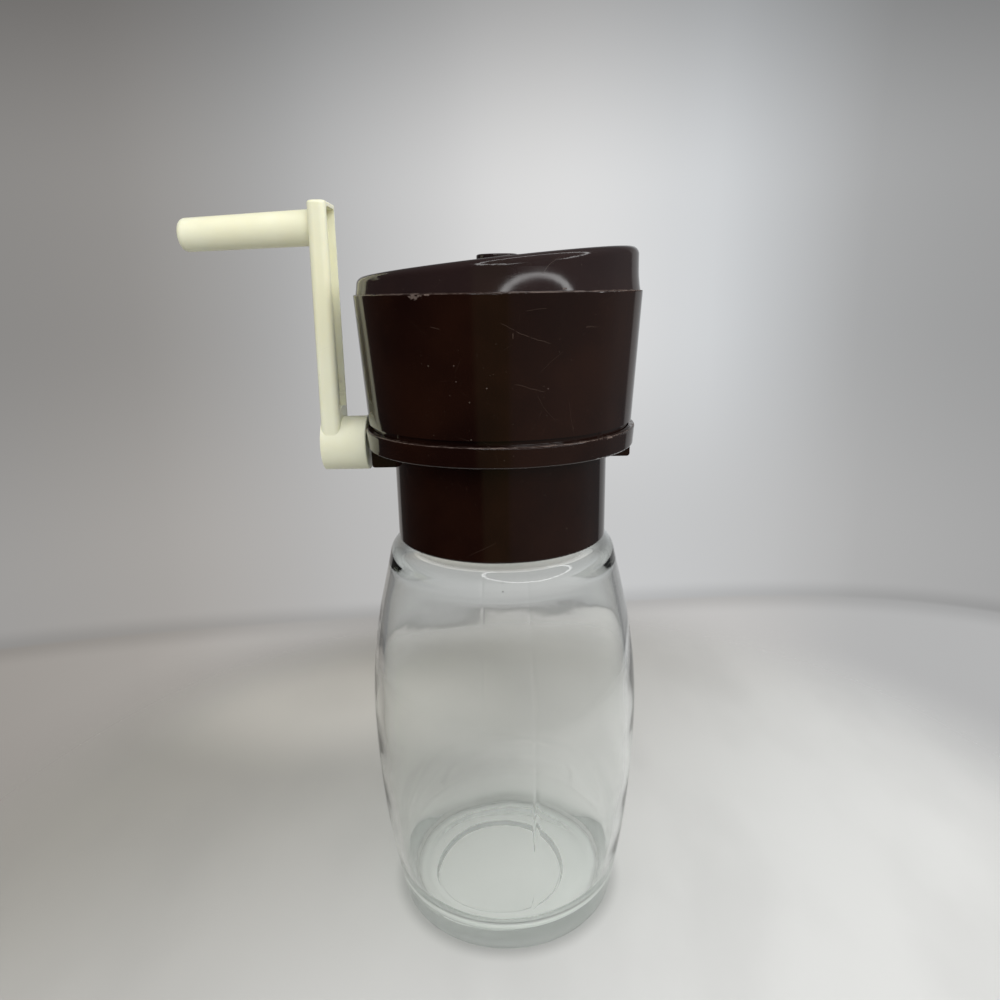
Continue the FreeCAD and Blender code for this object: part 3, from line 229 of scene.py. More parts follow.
class SharedGroup(Graph):
    """One of the shared shader groups, drawn by the method that has its name."""

    vectors = ("Point", "Centre", "Reach", "Start", "End")

    def __init__(self, effect: Effect) -> None:
        """Makes the group, from its inputs to its outputs.

        Args:
            effect: which group it is.
        """
        name = effect.name.lower()
        super().__init__(bpy.data.node_groups.new(name, "ShaderNodeTree"))
        for label in effect.value:
            self.socket(label, "INPUT", "Vector" if label in self.vectors else "Float")
        self.given = self.tree.nodes.new("NodeGroupInput").outputs
        self.point = self.given["Point"]
        self.made: dict[str, Socket] = {}
        getattr(self, name)()
        for label in self.made:
            self.socket(label, "OUTPUT", "Float")
        end = self.tree.nodes.new("NodeGroupOutput")
        for label, value in self.made.items():
            self.feed(end.inputs[label], value)

    def socket(self, label: str, side: str, kind: str) -> None:
        """Adds a socket to the group's interface."""
        self.tree.interface.new_socket(name=label, in_out=side, socket_type="NodeSocket" + kind)

    def rim_wear(self) -> None:
        """Draws a thin pale line at one height, broken, and wider where the rim is chipped: partly wear and
        partly a painted highlight along the rounded edge.
        """
        width = self.given["Width"]
        height = self.times(self.sway(420.0, 3.0), self.times(width, 1.6), self.given["Height"])
        away = self.math("ABSOLUTE", self.math("SUBTRACT", self.split(self.point)[2], height))
        chip = self.step(self.noise(130.0, 4.0, 0.65), 0.62, 0.74)
        reach = self.times(self.times(chip, self.given["Chipping"]), self.times(width, 3.0), width)
        line = self.step(self.math("DIVIDE", away, reach), 0.35, 1.0, 1.0, 0.0)
        patchy = self.step(self.noise(320.0, 4.0, 0.65), 0.36, 0.66, 0.15, 1.0)
        self.made["Worn"] = self.times(line, patchy)

    def dust(self) -> None:
        """Draws small round specks in some of the cells."""
        cells = self.add("TexVoronoi", {"Vector": self.point, "Scale": self.given["Cells"]})
        luck, growth, _ = self.add("SeparateColor", {0: cells["Color"]})
        size = self.times(self.given["Size"], self.math("ADD", growth, 0.35))
        speck = self.step(self.math("DIVIDE", cells["Distance"], size), 0.6, 1.0, 1.0, 0.0)
        self.made["Specks"] = self.times(speck, self.math("LESS_THAN", luck, self.given["Share"]))

    def hairlines(self) -> None:
        """Draws one short handling scratch in some of the cells, each in its own direction."""
        middle = (0.5, 0.5, 0.5)
        bend = self.add("TexNoise", {"Vector": self.point, "Scale": 90.0, "Detail": 1.0})[1]
        bent = self.vector("ADD", self.point, self.scaled(self.vector("SUBTRACT", bend, middle), 0.0022))
        cells = self.add("TexVoronoi", {"Vector": bent, "Scale": self.given["Cells"]})
        facing = self.vector("NORMALIZE", self.vector("SUBTRACT", cells["Color"], middle))
        reach = self.vector("SUBTRACT", bent, cells["Position"])
        away = self.math("ABSOLUTE", self.vector("DOT_PRODUCT", reach, facing))
        line = self.step(away, 0.0, self.given["Width"], 1.0, 0.0)
        ends = self.step(cells["Distance"], 0.20, 0.55, 1.0, 0.0)
        luck = self.add("TexWhiteNoise", {"Vector": cells["Position"]})["Value"]
        there = self.math("LESS_THAN", luck, self.given["Share"])
        self.made["Lines"] = self.times(self.times(line, ends), there)

    def chips(self) -> None:
        """Draws a ragged patch of chipped plastic round a centre."""
        off = self.vector("SUBTRACT", self.point, self.given["Centre"])
        away = self.vector("LENGTH", self.vector("DIVIDE", off, self.given["Reach"]))
        ragged = self.noise(1500.0, 3.0, 0.7)
        self.made["Chipped"] = self.step(self.times(away, -0.34, ragged), 0.28, 0.36)

    def moulded_skin(self) -> None:
        """Gives the slow ripple and the fine grain of a moulded surface, as a height."""
        grain = self.times(self.sway(2600.0), self.given["Grain"])
        self.made["Height"] = self.times(self.sway(150.0, 1.5, 0.45), self.given["Ripple"], grain)
        self.made["Cloud"] = self.step(self.noise(34.0, 3.0, 0.55), 0.32, 0.68)

    def long_scratch(self) -> None:
        """Draws one scratch on the front, from its start to its end as seen along +Y."""
        flat = (1.0, 0.0, 1.0)
        wander = self.scaled((0.0, 0.0, 0.0011), self.sway(260.0))
        point = self.vector("MULTIPLY", self.vector("ADD", self.point, wander), flat)
        start = self.vector("MULTIPLY", self.given["Start"], flat)
        along = self.vector("SUBTRACT", self.vector("MULTIPLY", self.given["End"], flat), start)
        reach = self.vector("SUBTRACT", point, start)
        share = self.math("DIVIDE", self.vector("DOT_PRODUCT", reach, along),
                          self.vector("DOT_PRODUCT", along, along), clamp=True)
        away = self.vector("LENGTH", self.vector("SUBTRACT", reach, self.scaled(along, share)))
        line = self.step(self.math("DIVIDE", away, self.given["Width"]), 0.2, 1.0, 1.0, 0.0)
        front = self.math("LESS_THAN", self.split(self.point)[1], 0.0)
        ends = self.times(self.step(share, 0.0, 0.12), self.step(share, 0.86, 1.0, 1.0, 0.0))
        self.made["Line"] = self.times(self.times(line, front), ends)


class Coat(Graph):
    """The graph of one new material, with the shared groups at hand."""

    def __init__(self, name: str, effects: Effects) -> None:
        """Starts the material.

        Args:
            name: the material's name.
            effects: the shared groups.
        """
        self.material = bpy.data.materials.new(name)
        self.material.use_nodes = True
        super().__init__(self.material.node_tree)
        self.effects = effects
        self.point = self.add("TexCoord")["Object"]

    def use(self, effect: Effect, **values: Feed) -> Outputs:
        """Places a shared group, which reads the row frame's coordinates, and returns its outputs."""
        return self.add("Group", {"Point": self.point, **values}, node_tree=self.effects[effect])

    def finish(self, height: Feed | None = None, **values: Feed) -> None:
        """Sets the Principled node.

        Args:
            height: the surface's height in metres, which turns its normal.
            values: the node's inputs by name, with _ for each space.
        """
        if height is not None:
            values["Normal"] = self.add("Bump", {"Height": height, "Distance": 1.0, "Strength": 1.0})[0]
        principled = self.tree.nodes["Principled BSDF"]
        for label, value in values.items():
            self.feed(principled.inputs[label.replace("_", " ")], value)


@dataclass(frozen=True)
class Rim:
    """An edge whose high line is painted paler: partly wear and partly a painted highlight where the rounded
    edge catches light.
    """

    height: float
    width: float
    chipping: float
    strength: float


@dataclass(frozen=True)
class Chip:
    """A ragged chipped patch, by its centre and its reach sideways, in depth and upward."""

    centre: Triple
    reach: Triple = (0.0002, 0.001, 0.0002)
    strength: float = 0.8


@dataclass(frozen=True)
class Scratch:
    """One long scratch on the front, by its two ends as (x, z)."""

    start: Pair
    end: Pair
    strength: float
    width: float = 0.00007


@dataclass(frozen=True)
class Finish:
    """The values of one material, which each kind of finish paints in its own way."""

    name: str

    def material(self, effects: Effects) -> bpy.types.Material:
        """Builds the finish.

        Args:
            effects: the shared groups.

        Returns:
            The material.
        """
        coat = Coat(self.name, effects)
        self.paint(coat)
        return coat.material

    def paint(self, coat: Coat) -> None:
        """Paints the material, in each kind of finish."""
        raise NotImplementedError


@dataclass(frozen=True)
class BrownPlastic(Finish):
    """Very dark, glossy brown moulding with paler rims, partly wear and partly a painted highlight, chips,
    hairlines and specks of dust.
    """

    rims: tuple[Rim, ...] = ()
    scratches: tuple[Scratch, ...] = ()
    chips: tuple[Chip, ...] = ()
    deep: Colour = (0.0070, 0.0021, 0.0014)
    warm: Colour = (0.0135, 0.0044, 0.0024)
    worn: Colour = (0.13, 0.095, 0.08)
    scuffed: Colour = (0.11, 0.078, 0.058)
    dusty: Colour = (0.20, 0.17, 0.13)
    roughness: float = 0.075
    chip_depth: float = 0.00002

    def paint(self, coat: Coat) -> None:
        """Paints the moulding.

        Args:
            coat: the material's graph.
        """
        skin = coat.use(Effect.MOULDED_SKIN, Ripple=0.000008, Grain=0.0000003)
        colour = coat.mix(skin["Cloud"], self.deep, self.warm)
        long = coat.use(Effect.HAIRLINES, Cells=95.0, Width=0.00005, Share=0.30)["Lines"]
        short = coat.use(Effect.HAIRLINES, Cells=280.0, Width=0.00003, Share=0.22)["Lines"]
        marks = coat.times(long, 0.20, coat.times(short, 0.14))
        for scratch in self.scratches:
            start, end = ((x, 0.0, z) for x, z in (scratch.start, scratch.end))
            line = coat.use(Effect.LONG_SCRATCH, Start=start, End=end, Width=scratch.width)["Line"]
            marks = coat.times(line, scratch.strength, marks)
        colour = coat.mix(coat.math("MINIMUM", marks, 1.0), colour, self.scuffed)
        masks = []
        # Each rim line is partly wear and partly a painted highlight along the edge; the chips are real
        # wear.
        for rim in self.rims:
            edge = coat.use(Effect.RIM_WEAR, Height=rim.height, Width=rim.width, Chipping=rim.chipping)
            masks.append((edge["Worn"], rim.strength))
        for chip in self.chips:
            patch = coat.use(Effect.CHIPS, Centre=chip.centre, Reach=chip.reach)
            masks.append((patch["Chipped"], chip.strength))
        worn = coat.strongest(*masks)
        colour = coat.mix(worn, colour, self.worn)
        coarse = coat.use(Effect.DUST, Cells=430.0, Size=0.09, Share=0.07)["Specks"]
        fine = coat.use(Effect.DUST, Cells=1400.0, Size=0.14, Share=0.08)["Specks"]
        colour = coat.mix(coat.strongest((coarse, 0.36), (fine, 0.18)), colour, self.dusty)
        film = coat.step(coat.noise(60.0, 5.0, 0.65), 0.35, 0.75, 0.0, 0.05)
        dulled = coat.times(coat.math("MAXIMUM", worn, marks), 0.5, film)
        coat.finish(coat.times(worn, -self.chip_depth, skin["Height"]), Base_Color=colour,
                    Roughness=coat.math("ADD", dulled, self.roughness), IOR=1.5)


@dataclass(frozen=True)
class IvoryPlastic(Finish):
    """Pale ivory moulding that lets a little light in, with painted shade, darker and yellower, in the
    recess where the arm meets the hub.
    """

    recess_point: Triple
    recess_reach: Pair = (0.0015, 0.007)
    fresh: Colour = (0.83, 0.83, 0.66)
    aged: Colour = (0.78, 0.76, 0.55)
    dirt_and_shade_tone: Colour = (0.24, 0.20, 0.13)
    roughness: float = 0.30

    def paint(self, coat: Coat) -> None:
        """Paints the moulding.

        Args:
            coat: the material's graph.
        """
        skin = coat.use(Effect.MOULDED_SKIN, Ripple=0.000014, Grain=0.000001)
        colour = coat.mix(skin["Cloud"], self.fresh, self.aged)
        flow = coat.noise(300.0, 3.0, stretch=(1.0, 1.0, 0.12))
        colour = coat.mix(coat.step(flow, 0.55, 0.8, 0.0, 0.22), colour, self.aged)
        # Painted shade: the colour darkens towards the recess point, where the arm meets the hub.
        foot = coat.vector("DISTANCE", coat.point, self.recess_point)
        near = coat.step(foot, *self.recess_reach, 1.0, 0.0)
        painted_recess_shade = coat.times(near, coat.step(coat.noise(700.0, 4.0, 0.6), 0.45, 0.70))
        specks = coat.use(Effect.DUST, Cells=420.0, Size=0.09, Share=0.07)["Specks"]
        lines = coat.use(Effect.HAIRLINES, Cells=170.0, Width=0.00004, Share=0.25)["Lines"]
        # The specks and hairlines are dust and handling marks; the recess patch is painted shade.
        dirt_and_shade = coat.strongest((painted_recess_shade, 0.6), (specks, 0.45), (lines, 0.12))
        rough = coat.step(coat.noise(80.0, 4.0, 0.6), 0.3, 0.7, self.roughness, self.roughness + 0.12)
        coat.finish(skin["Height"], Base_Color=coat.mix(dirt_and_shade, colour, self.dirt_and_shade_tone), Roughness=rough, IOR=1.49,
                    Subsurface_Weight=0.22, Subsurface_Radius=(1.0, 0.9, 0.55), Subsurface_Scale=0.0025)


@dataclass(frozen=True)
class PressedGlass(Finish):
    """Clear glass with a faint grey green tint, small bubbles, an uneven skin and a rough base."""

    tint: Colour = (0.985, 0.990, 0.985)
    shadow_tint: Colour = (0.96, 0.965, 0.96)
    body_tint: Colour = (0.80, 0.875, 0.835)
    density: float = 24.0
    speck: Colour = (0.10, 0.10, 0.09)
    base_heights: Pair = (0.0024, 0.0028)
    base_radii: Pair = (0.0312, 0.0322)

    def paint(self, coat: Coat) -> None:
        """Paints the glass.

        Args:
            coat: the material's graph.
        """
        seeds = coat.use(Effect.DUST, Cells=230.0, Size=0.055, Share=0.06)["Specks"]
        lines = coat.use(Effect.HAIRLINES, Cells=160.0, Width=0.00003, Share=0.15)["Lines"]
        out = coat.vector("LENGTH", coat.vector("MULTIPLY", coat.point, (1.0, 1.0, 0.0)))
        low = coat.step(coat.split(coat.point)[2], *self.base_heights, 1.0, 0.0)
        under = coat.times(low, coat.step(out, *self.base_radii, 1.0, 0.0))
        fine = coat.times(coat.sway(420.0), 0.0000022)
        coat.finish(coat.times(coat.sway(70.0), 0.000035, fine),
                    Base_Color=coat.mix(seeds, self.tint, self.speck),
                    Roughness=coat.strongest((lines, 0.15), (under, 0.6)), IOR=1.51, Transmission_Weight=1.0)
        clear = coat.add("BsdfTransparent", {"Color": self.shadow_tint})[0]
        depth = coat.add("VolumeAbsorption", {"Color": self.body_tint, "Density": self.density})[0]
        rays = coat.add("LightPath")
        shadow = coat.math("MAXIMUM", rays["Is Shadow Ray"], rays["Is Diffuse Ray"])
        bright = coat.tree.nodes["Principled BSDF"].outputs[0]
        output = coat.tree.nodes["Material Output"]
        coat.feed(output.inputs["Surface"], coat.add("MixShader", {0: shadow, 1: bright, 2: clear})[0])
        coat.feed(output.inputs["Volume"], depth)


@dataclass(frozen=True)
class TurnedSteel(Finish):
    """Bright steel with fine tool lines across one direction and a little grey in soft clouds and specks."""

    bright: Colour = (0.60, 0.60, 0.60)
    dull: Colour = (0.36, 0.35, 0.34)
    lay: Triple = (9.0, 1.0, 1.0)
    roughness: float = 0.28

    def paint(self, coat: Coat) -> None:
        """Paints the steel.

        Args:
            coat: the material's graph.
        """
        tooling = coat.noise(900.0, 3.0, 0.6, self.lay)
        cloud = coat.step(coat.noise(160.0, 4.0, 0.6), 0.4, 0.75)
        specks = coat.use(Effect.DUST, Cells=900.0, Size=0.12, Share=0.10)["Specks"]
        colour = coat.mix(coat.strongest((cloud, 0.8), (specks, 1.0)), self.bright, self.dull)
        coat.finish(coat.times(tooling, 0.000004), Base_Color=colour, Metallic=1.0,
                    Roughness=coat.times(tooling, 0.22, self.roughness - 0.08))


@dataclass(frozen=True)
class PlainPlastic(Finish):
    """Matt moulding for the bearings and, softer and darker, for the sealing ring."""

    clean: Colour
    used: Colour
    roughness: float
    ripple: float = 0.00001

    def paint(self, coat: Coat) -> None:
        """Paints the moulding.

        Args:
            coat: the material's graph.
        """
        skin = coat.use(Effect.MOULDED_SKIN, Ripple=self.ripple, Grain=0.000003)
        specks = coat.use(Effect.DUST, Cells=800.0, Size=0.14, Share=0.18)["Specks"]
        used = coat.mix(coat.strongest((skin["Cloud"], 0.55), (specks, 1.0)), self.clean, self.used)
        rough = coat.step(coat.noise(300.0, 3.0), 0.3, 0.7, self.roughness, self.roughness + 0.15)
        coat.finish(skin["Height"], Base_Color=used, Roughness=rough)


@dataclass
class SubAssembly:
    """Pieces that are built and dressed together."""

    effects: Effects

    def dress(self, finish: Finish, slot: Slot, *nodes: str) -> None:
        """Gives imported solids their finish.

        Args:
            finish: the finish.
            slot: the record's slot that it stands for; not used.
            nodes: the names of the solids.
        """
        material = finish.material(self.effects)
        for name in nodes:
            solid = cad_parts[name]
            for place in solid.material_slots:
                place.material = material
            log.info("%s wears %s", name, material.name)


def clamped(value: float) -> float:
    """Returns the number, kept within 0 and 1."""
    return min(1.0, max(0.0, value))


def sagitta(radius: float, offset: float) -> float:
    """Returns how far a circle has fallen away from its tangent at an offset."""
    return radius - math.sqrt(radius * radius - offset * offset)


def curve_radius(depth: float, offset: float) -> float:
    """Returns the radius of the circle that falls by depth at an offset."""
    return (offset * offset + depth * depth) / (2.0 * depth)


def evenly(start: float, end: float, count: int) -> list[float]:
    """Returns count + 1 numbers from start to end."""
    return [start + (end - start) * number / count for number in range(count + 1)]


def blended(before: Profile, after: Profile, radius: float, count: int) -> Profile:
    """Joins two runs of an outline with a round corner.

    Args:
        before: the run that ends at the corner.
        after: the run that starts there.
        radius: the corner's radius.
        count: steps round the corner.

    Returns:
        The joined run.
    """
    corner = Vector(before[-1])
    for _ in range(3):
        into = (corner - Vector(before[-2])).normalized()
        out = (Vector(after[1]) - corner).normalized()
        angle = into.angle(out)
        reach = radius * math.tan(angle / 2.0)
        while len(before) > 2 and (Vector(before[-2]) - corner).length < reach:
            del before[-2]
        while len(after) > 2 and (Vector(after[1]) - corner).length < reach:
            del after[1]
    start = corner - into * reach
    side = into.cross(out)
    normal = Vector((-into.y, into.x)) * (1.0 if side > 0 else -1.0)
    centre = start + normal * radius
    arc = []
    for share in evenly(0.0, 1.0, count):
        turned = Matrix.Rotation(math.copysign(angle * share, side), 2) @ (start - centre)
        arc.append(tuple(centre + turned))
    return before[:-1] + arc + after[1:]


def revolved(name: str, start: Vector, rings: list[list[Vector]],
             end: Vector | None = None) -> bpy.types.Object:
    """Makes a round mesh from rings of points.

    Args:
        name: the name of the mesh and the object.
        start: the middle of the first ring.
        rings: the rings, which all have as many points.
        end: the middle of the last ring, if that is closed.

    Returns:
        The object, in the scene.
    """
    count = len(rings[0])
    vertices = [start, *(point for ring in rings for point in ring)]
    faces = []
    for column in range(count):
        after = (column + 1) % count
        faces.append((0, 1 + after, 1 + column))
        for row in range(len(rings) - 1):
            low, high = 1 + row * count, 1 + (row + 1) * count
            faces.append((low + column, low + after, high + after, high + column))
        if end is not None:
            faces.append((high + column, high + after, len(vertices)))
    if end is not None:
        vertices.append(end)
    mesh = bpy.data.meshes.new(name)
    mesh.from_pydata(vertices, [], faces)
    made = bpy.data.objects.new(name, mesh)
    bpy.context.scene.collection.objects.link(made)
    return made


def at_angle(angle: float, radius: float, z: float) -> Vector:
    """Returns the point at an angle round the axis, a radius and a height."""
    return Vector((radius * math.cos(angle), radius * math.sin(angle), z))


@dataclass(frozen=True)
class Wave:
    """Slow unevenness round the jar, by its swells in a turn, their height, its pattern and its depth."""

    around: float
    tall: float
    seed: float
    depth: float

    def at(self, angle: float, z: float) -> float:
        """Returns the unevenness at a place, which is between about -depth and depth."""
        reach = self.around / math.tau
        place = Vector((math.cos(angle) * reach + self.seed, math.sin(angle) * reach - self.seed,
                        z / self.tall + self.seed))
        return 2.0 * self.depth * field_noise.noise(place)


@dataclass(frozen=True)
class Stretch:
    """A stretch of the side, by its start, its fade in, its gap below the side's top and its fade out."""

    start: float
    fade_in: float
    gap: float
    fade_out: float

    def share(self, z: float, top: float) -> float:
        """Returns 1 on the stretch and 0 off it, with a straight fade at each end."""
        return clamped((z - self.start) / self.fade_in) * clamped((top - self.gap - z) / self.fade_out)


@dataclass
class GlassJar(SubAssembly):
    """A pressed barrel jar: heel, push-up, ledge, threaded neck, uneven inner wall and floor."""

    belly_radius: float = 39.3
    belly_height: float = 61.7
    foot_radius: float = 33.0
    upper_curve: float = 165.0
    upper_lean: float = math.radians(13.4)
    ledge_height: float = 116.2
    side_top: float = 115.7
    neck_radius: float = 25.1
    mouth_radius: float = 22.3
    lip_height: float = 129.6
    wall: float = 2.6
    floor_height: float = 4.5
    rest_width: float = 3.1
    push_up: float = 2.2
    heel_round: float = 1.5
    floor_round: float = 11.0
    ledge_round: float = 5.2
    inner_neck_foot: float = 117.0
    inner_side_top: float = 107.5
    inner_shoulder_round: float = 5.0
    lip_round: float = 0.8
    ridge_start: float = 121.4
    ridge_pitch: float = 4.2
    ridge_turns: float = 1.25
    ridge_rib: float = 1.1
    ridge_fade: float = 3.0
    columns: int = 216
    seam_angle: float = math.radians(-78.8)
    seam_offsets: tuple[float, ...] = (-0.42, -0.2, 0.0, 0.2, 0.42)
    seam_room: float = 0.3
    seam_height: float = 0.09
    seam_level: float = 0.7
    seam_wave: Wave = Wave(2.0, 9.0, 6.4, 0.3)
    seam_stretch: Stretch = Stretch(1.0, 3.0, 0.0, 3.0)
    outer_wave: Wave = Wave(5.0, 26.0, 3.1, 0.05)
    outer_stretch: Stretch = Stretch(4.0, 6.0, 1.5, 6.0)
    inner_waves: tuple[Wave, ...] = (Wave(4.2, 30.0, 11.7, 0.12), Wave(9.0, 12.0, 27.3, 0.048))
    inner_stretch: Stretch = Stretch(6.0, 14.0, 4.5, 8.0)
    floor_wave: Wave = Wave(2.0, 9.0, 55.2, 0.10)
    floor_fade: float = 3.0
    edge_wave: Wave = Wave(4.4, 10.0, 41.9, 0.06)
    edge_rows: float = 1.4
    edge_radius: float = 19.6
    edge_middle: Pair = (-2.4, -3.0)
    edge_width: float = 0.7
    edge_fade: float = 8.0
    floor_dish: float = 0.9
    floor_groove: float = 0.8

    def side_radius(self, z: float, inset: float = 0.0) -> float:
        """Follows the side: a curve up to the belly, then a longer one that runs out into a straight lean.

        Args:
            z: the height.
            inset: how far inside the outer face it is read.

        Returns:
            The radius.
        """
        belly, rise = self.belly_radius - inset, z - self.belly_height
        if rise < 0.0:
            lower = curve_radius(self.belly_radius - self.foot_radius, self.belly_height)
            return belly - sagitta(lower - inset, -rise)
        upper = self.upper_curve - inset
        bend = min(rise, upper * math.sin(self.upper_lean))
        return belly - sagitta(upper, bend) - (rise - bend) * math.tan(self.upper_lean)

    def outer_run(self) -> Profile:
        """Draws the outside.

        Returns:
            The outline from the middle of the base to the lip's top.
        """
        rest = self.foot_radius - self.heel_round - self.rest_width
        hollow = curve_radius(self.push_up, rest)
        below = [(r, self.push_up - sagitta(hollow, r)) for r in evenly(0.0, rest, 16)]
        below += [(r, 0.0) for r in evenly(rest, self.foot_radius, 8)[1:]]
        heights = evenly(0.0, self.belly_height, 44) + evenly(self.belly_height, self.ledge_height, 40)[1:]
        side = [(self.side_radius(z), z) for z in heights]
        ledge = [(r, self.ledge_height) for r in evenly(side[-1][0], self.neck_radius, 8)]
        neck = [(self.neck_radius, z) for z in evenly(self.ledge_height, self.lip_height, 50)]
        lip_middle = (self.neck_radius + self.mouth_radius) / 2.0
        lip = [(r, self.lip_height) for r in evenly(self.neck_radius, lip_middle, 2)]
        run = blended(below, side, self.heel_round, 12)
        run = blended(run, ledge, self.ledge_round, 10)
        run = blended(run, neck, self.lip_round, 5)
        return blended(run, lip, self.lip_round, 5)

    def inner_run(self) -> Profile:
        """Draws the inside.

        Returns:
            The outline from the lip's top down to the middle of the floor.
        """
        lip_middle = (self.neck_radius + self.mouth_radius) / 2.0
        lip = [(r, self.lip_height) for r in evenly(lip_middle, self.mouth_radius, 2)]
        high, low = self.inner_neck_foot, self.inner_side_top
        neck = [(self.mouth_radius, z) for z in evenly(self.lip_height, high, 16)]
        side_top = self.side_radius(low, self.wall)
        shoulder = [(self.mouth_radius + (side_top - self.mouth_radius) * share, high + (low - high) * share)
                    for share in evenly(0.0, 1.0, 16)]
        heights = evenly(low, self.belly_height, 40) + evenly(self.belly_height, self.floor_height, 44)[1:]
        side = [(self.side_radius(z, self.wall), z) for z in heights]
        near, far = self.edge_radius - self.edge_rows, self.edge_radius + self.edge_rows
        floor = [(r, self.floor_height) for r in
                 evenly(side[-1][0], far, 14) + evenly(far, near, 28)[1:] + evenly(near, 0.0, 14)[1:]]
        run = blended(lip, neck, self.lip_round, 5)
        run = blended(run, shoulder, self.inner_shoulder_round, 8)
        run = blended(run, side, self.inner_shoulder_round, 8)
        return blended(run, floor, self.floor_round, 18)

    def angles(self) -> list[float]:
        """Spreads the columns round the jar, with more of them at the two mould seams.

        Returns:
            Their angles.
        """
        even = evenly(0.0, math.tau, self.columns)[:-1]
        extra = []
        for seam in (self.seam_angle, self.seam_angle + math.pi):
            extra += [(seam + offset / self.belly_radius) % math.tau for offset in self.seam_offsets]
        room = math.tau / self.columns * self.seam_room
        kept = [angle for angle in even if min(abs(angle - other) for other in extra) > room]
        return sorted(kept + extra)

    def ridge(self, angle: float, z: float) -> float:
        """Draws the thread's ridge.

        Args:
            angle: the place round the jar.
            z: the height.

        Returns:
            How far it stands out of the neck.
        """
        best = 0.0
        for turn in range(math.ceil(self.ridge_turns)):
            done = angle / math.tau + turn
            if done > self.ridge_turns:
                continue
            ends = min(done, self.ridge_turns - done) * math.tau * self.neck_radius
            rib = self.ridge_rib * clamped(ends / self.ridge_fade)
            away = z - (self.ridge_start + self.ridge_pitch * done)
            if abs(away) < rib:
                best = max(best, math.sqrt(rib * rib - away * away))
        return best

    def seam(self, angle: float, radius: float) -> float:
        """Returns the height of the mould seam at an angle and a radius."""
        nearest = min(abs((angle - seam + math.pi) % math.tau - math.pi)
                      for seam in (self.seam_angle, self.seam_angle + math.pi))
        return self.seam_height * max(0.0, 1.0 - (nearest * radius / self.seam_offsets[-1]) ** 2)

    def outer_point(self, angle: float, radius: float, z: float) -> Vector:
        """Moves a point of the outside by waves, seams and ridge.

        Args:
            angle: the place round the jar.
            radius: the plain radius.
            z: the plain height.

        Returns:
            The point.
        """
        on_side = self.outer_stretch.share(z, self.side_top)
        if radius > self.mouth_radius:
            radius -= on_side * (self.outer_wave.depth + self.outer_wave.at(angle, z))
            on_seam = self.seam_stretch.share(z, self.side_top)
            radius += self.seam(angle, radius) * on_seam * (self.seam_level + self.seam_wave.at(angle, z))
            if z > self.ledge_height + 1.0:
                radius += self.ridge(angle, z)
        return at_angle(angle, radius, z)

    def floor_edge(self, angle: float) -> float:
        """Returns how far the uneven edge of the inner floor is from the axis."""
        middle = Vector(self.edge_middle)
        along = middle.dot(Vector((math.cos(angle), math.sin(angle))))
        reach = self.edge_radius * (1.0 + self.edge_wave.at(angle, 0.0))
        return along + math.sqrt(reach * reach + along * along - middle.length_squared)

    def inner_point(self, angle: float, radius: float, z: float) -> Vector:
        """Moves a point of the inside by waves, dish and groove.

        Args:
            angle: the place round the jar.
            radius: the plain radius.
            z: the plain height.

        Returns:
            The point.
        """
        on_side = self.inner_stretch.share(z, self.side_top)
        radius += on_side * sum(wave.at(angle, z) for wave in self.inner_waves)
        fade = clamped((self.floor_height + self.floor_fade - z) / self.floor_fade)
        if fade > 0.0:
            outside = max(0.0, radius - self.edge_radius) / self.edge_fade
            inside = max(0.0, self.edge_radius - radius) / self.edge_radius
            dish = clamped((self.edge_radius - radius) / self.edge_width + 0.5)
            groove = (radius - self.edge_radius) / self.edge_width
            radius += (self.floor_edge(angle) - self.edge_radius) * fade * max(0.0, 1.0 - outside - inside)
            z -= self.floor_dish * dish * dish * (3.0 - 2.0 * dish) * fade
            z -= self.floor_groove * max(0.0, 1.0 - groove * groove) ** 2 * fade
            z += fade * self.floor_wave.at(angle, radius)
        return at_angle(angle, radius, z)

    def build(self) -> bpy.types.Object:
        """Makes the jar's mesh.

        Returns:
            The jar.
        """
        angles = self.angles()
        rows = [(self.outer_point, *spot) for spot in self.outer_run()]
        rows += [(self.inner_point, *spot) for spot in self.inner_run()[1:]]
        rings = [[place(angle, radius, z) * MM for angle in angles] for place, radius, z in rows[1:-1]]
        start = self.outer_point(0.0, 0.0, self.push_up) * MM
        jar = revolved("jar_glass", start, rings, Vector((0.0, 0.0, rings[-1][-1].z)))
        jar.data.shade_smooth()
        return jar

    def place(self) -> None:
        """Builds the jar, dresses it and puts it on its body."""
        jar = self.build()
        jar.data.materials.append(PressedGlass("pressed_glass").material(self.effects))
        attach(jar, Body.JAR.value)
        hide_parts("glass_jar")
        log.info("jar_glass stands for glass_jar with %d faces", len(jar.data.polygons))


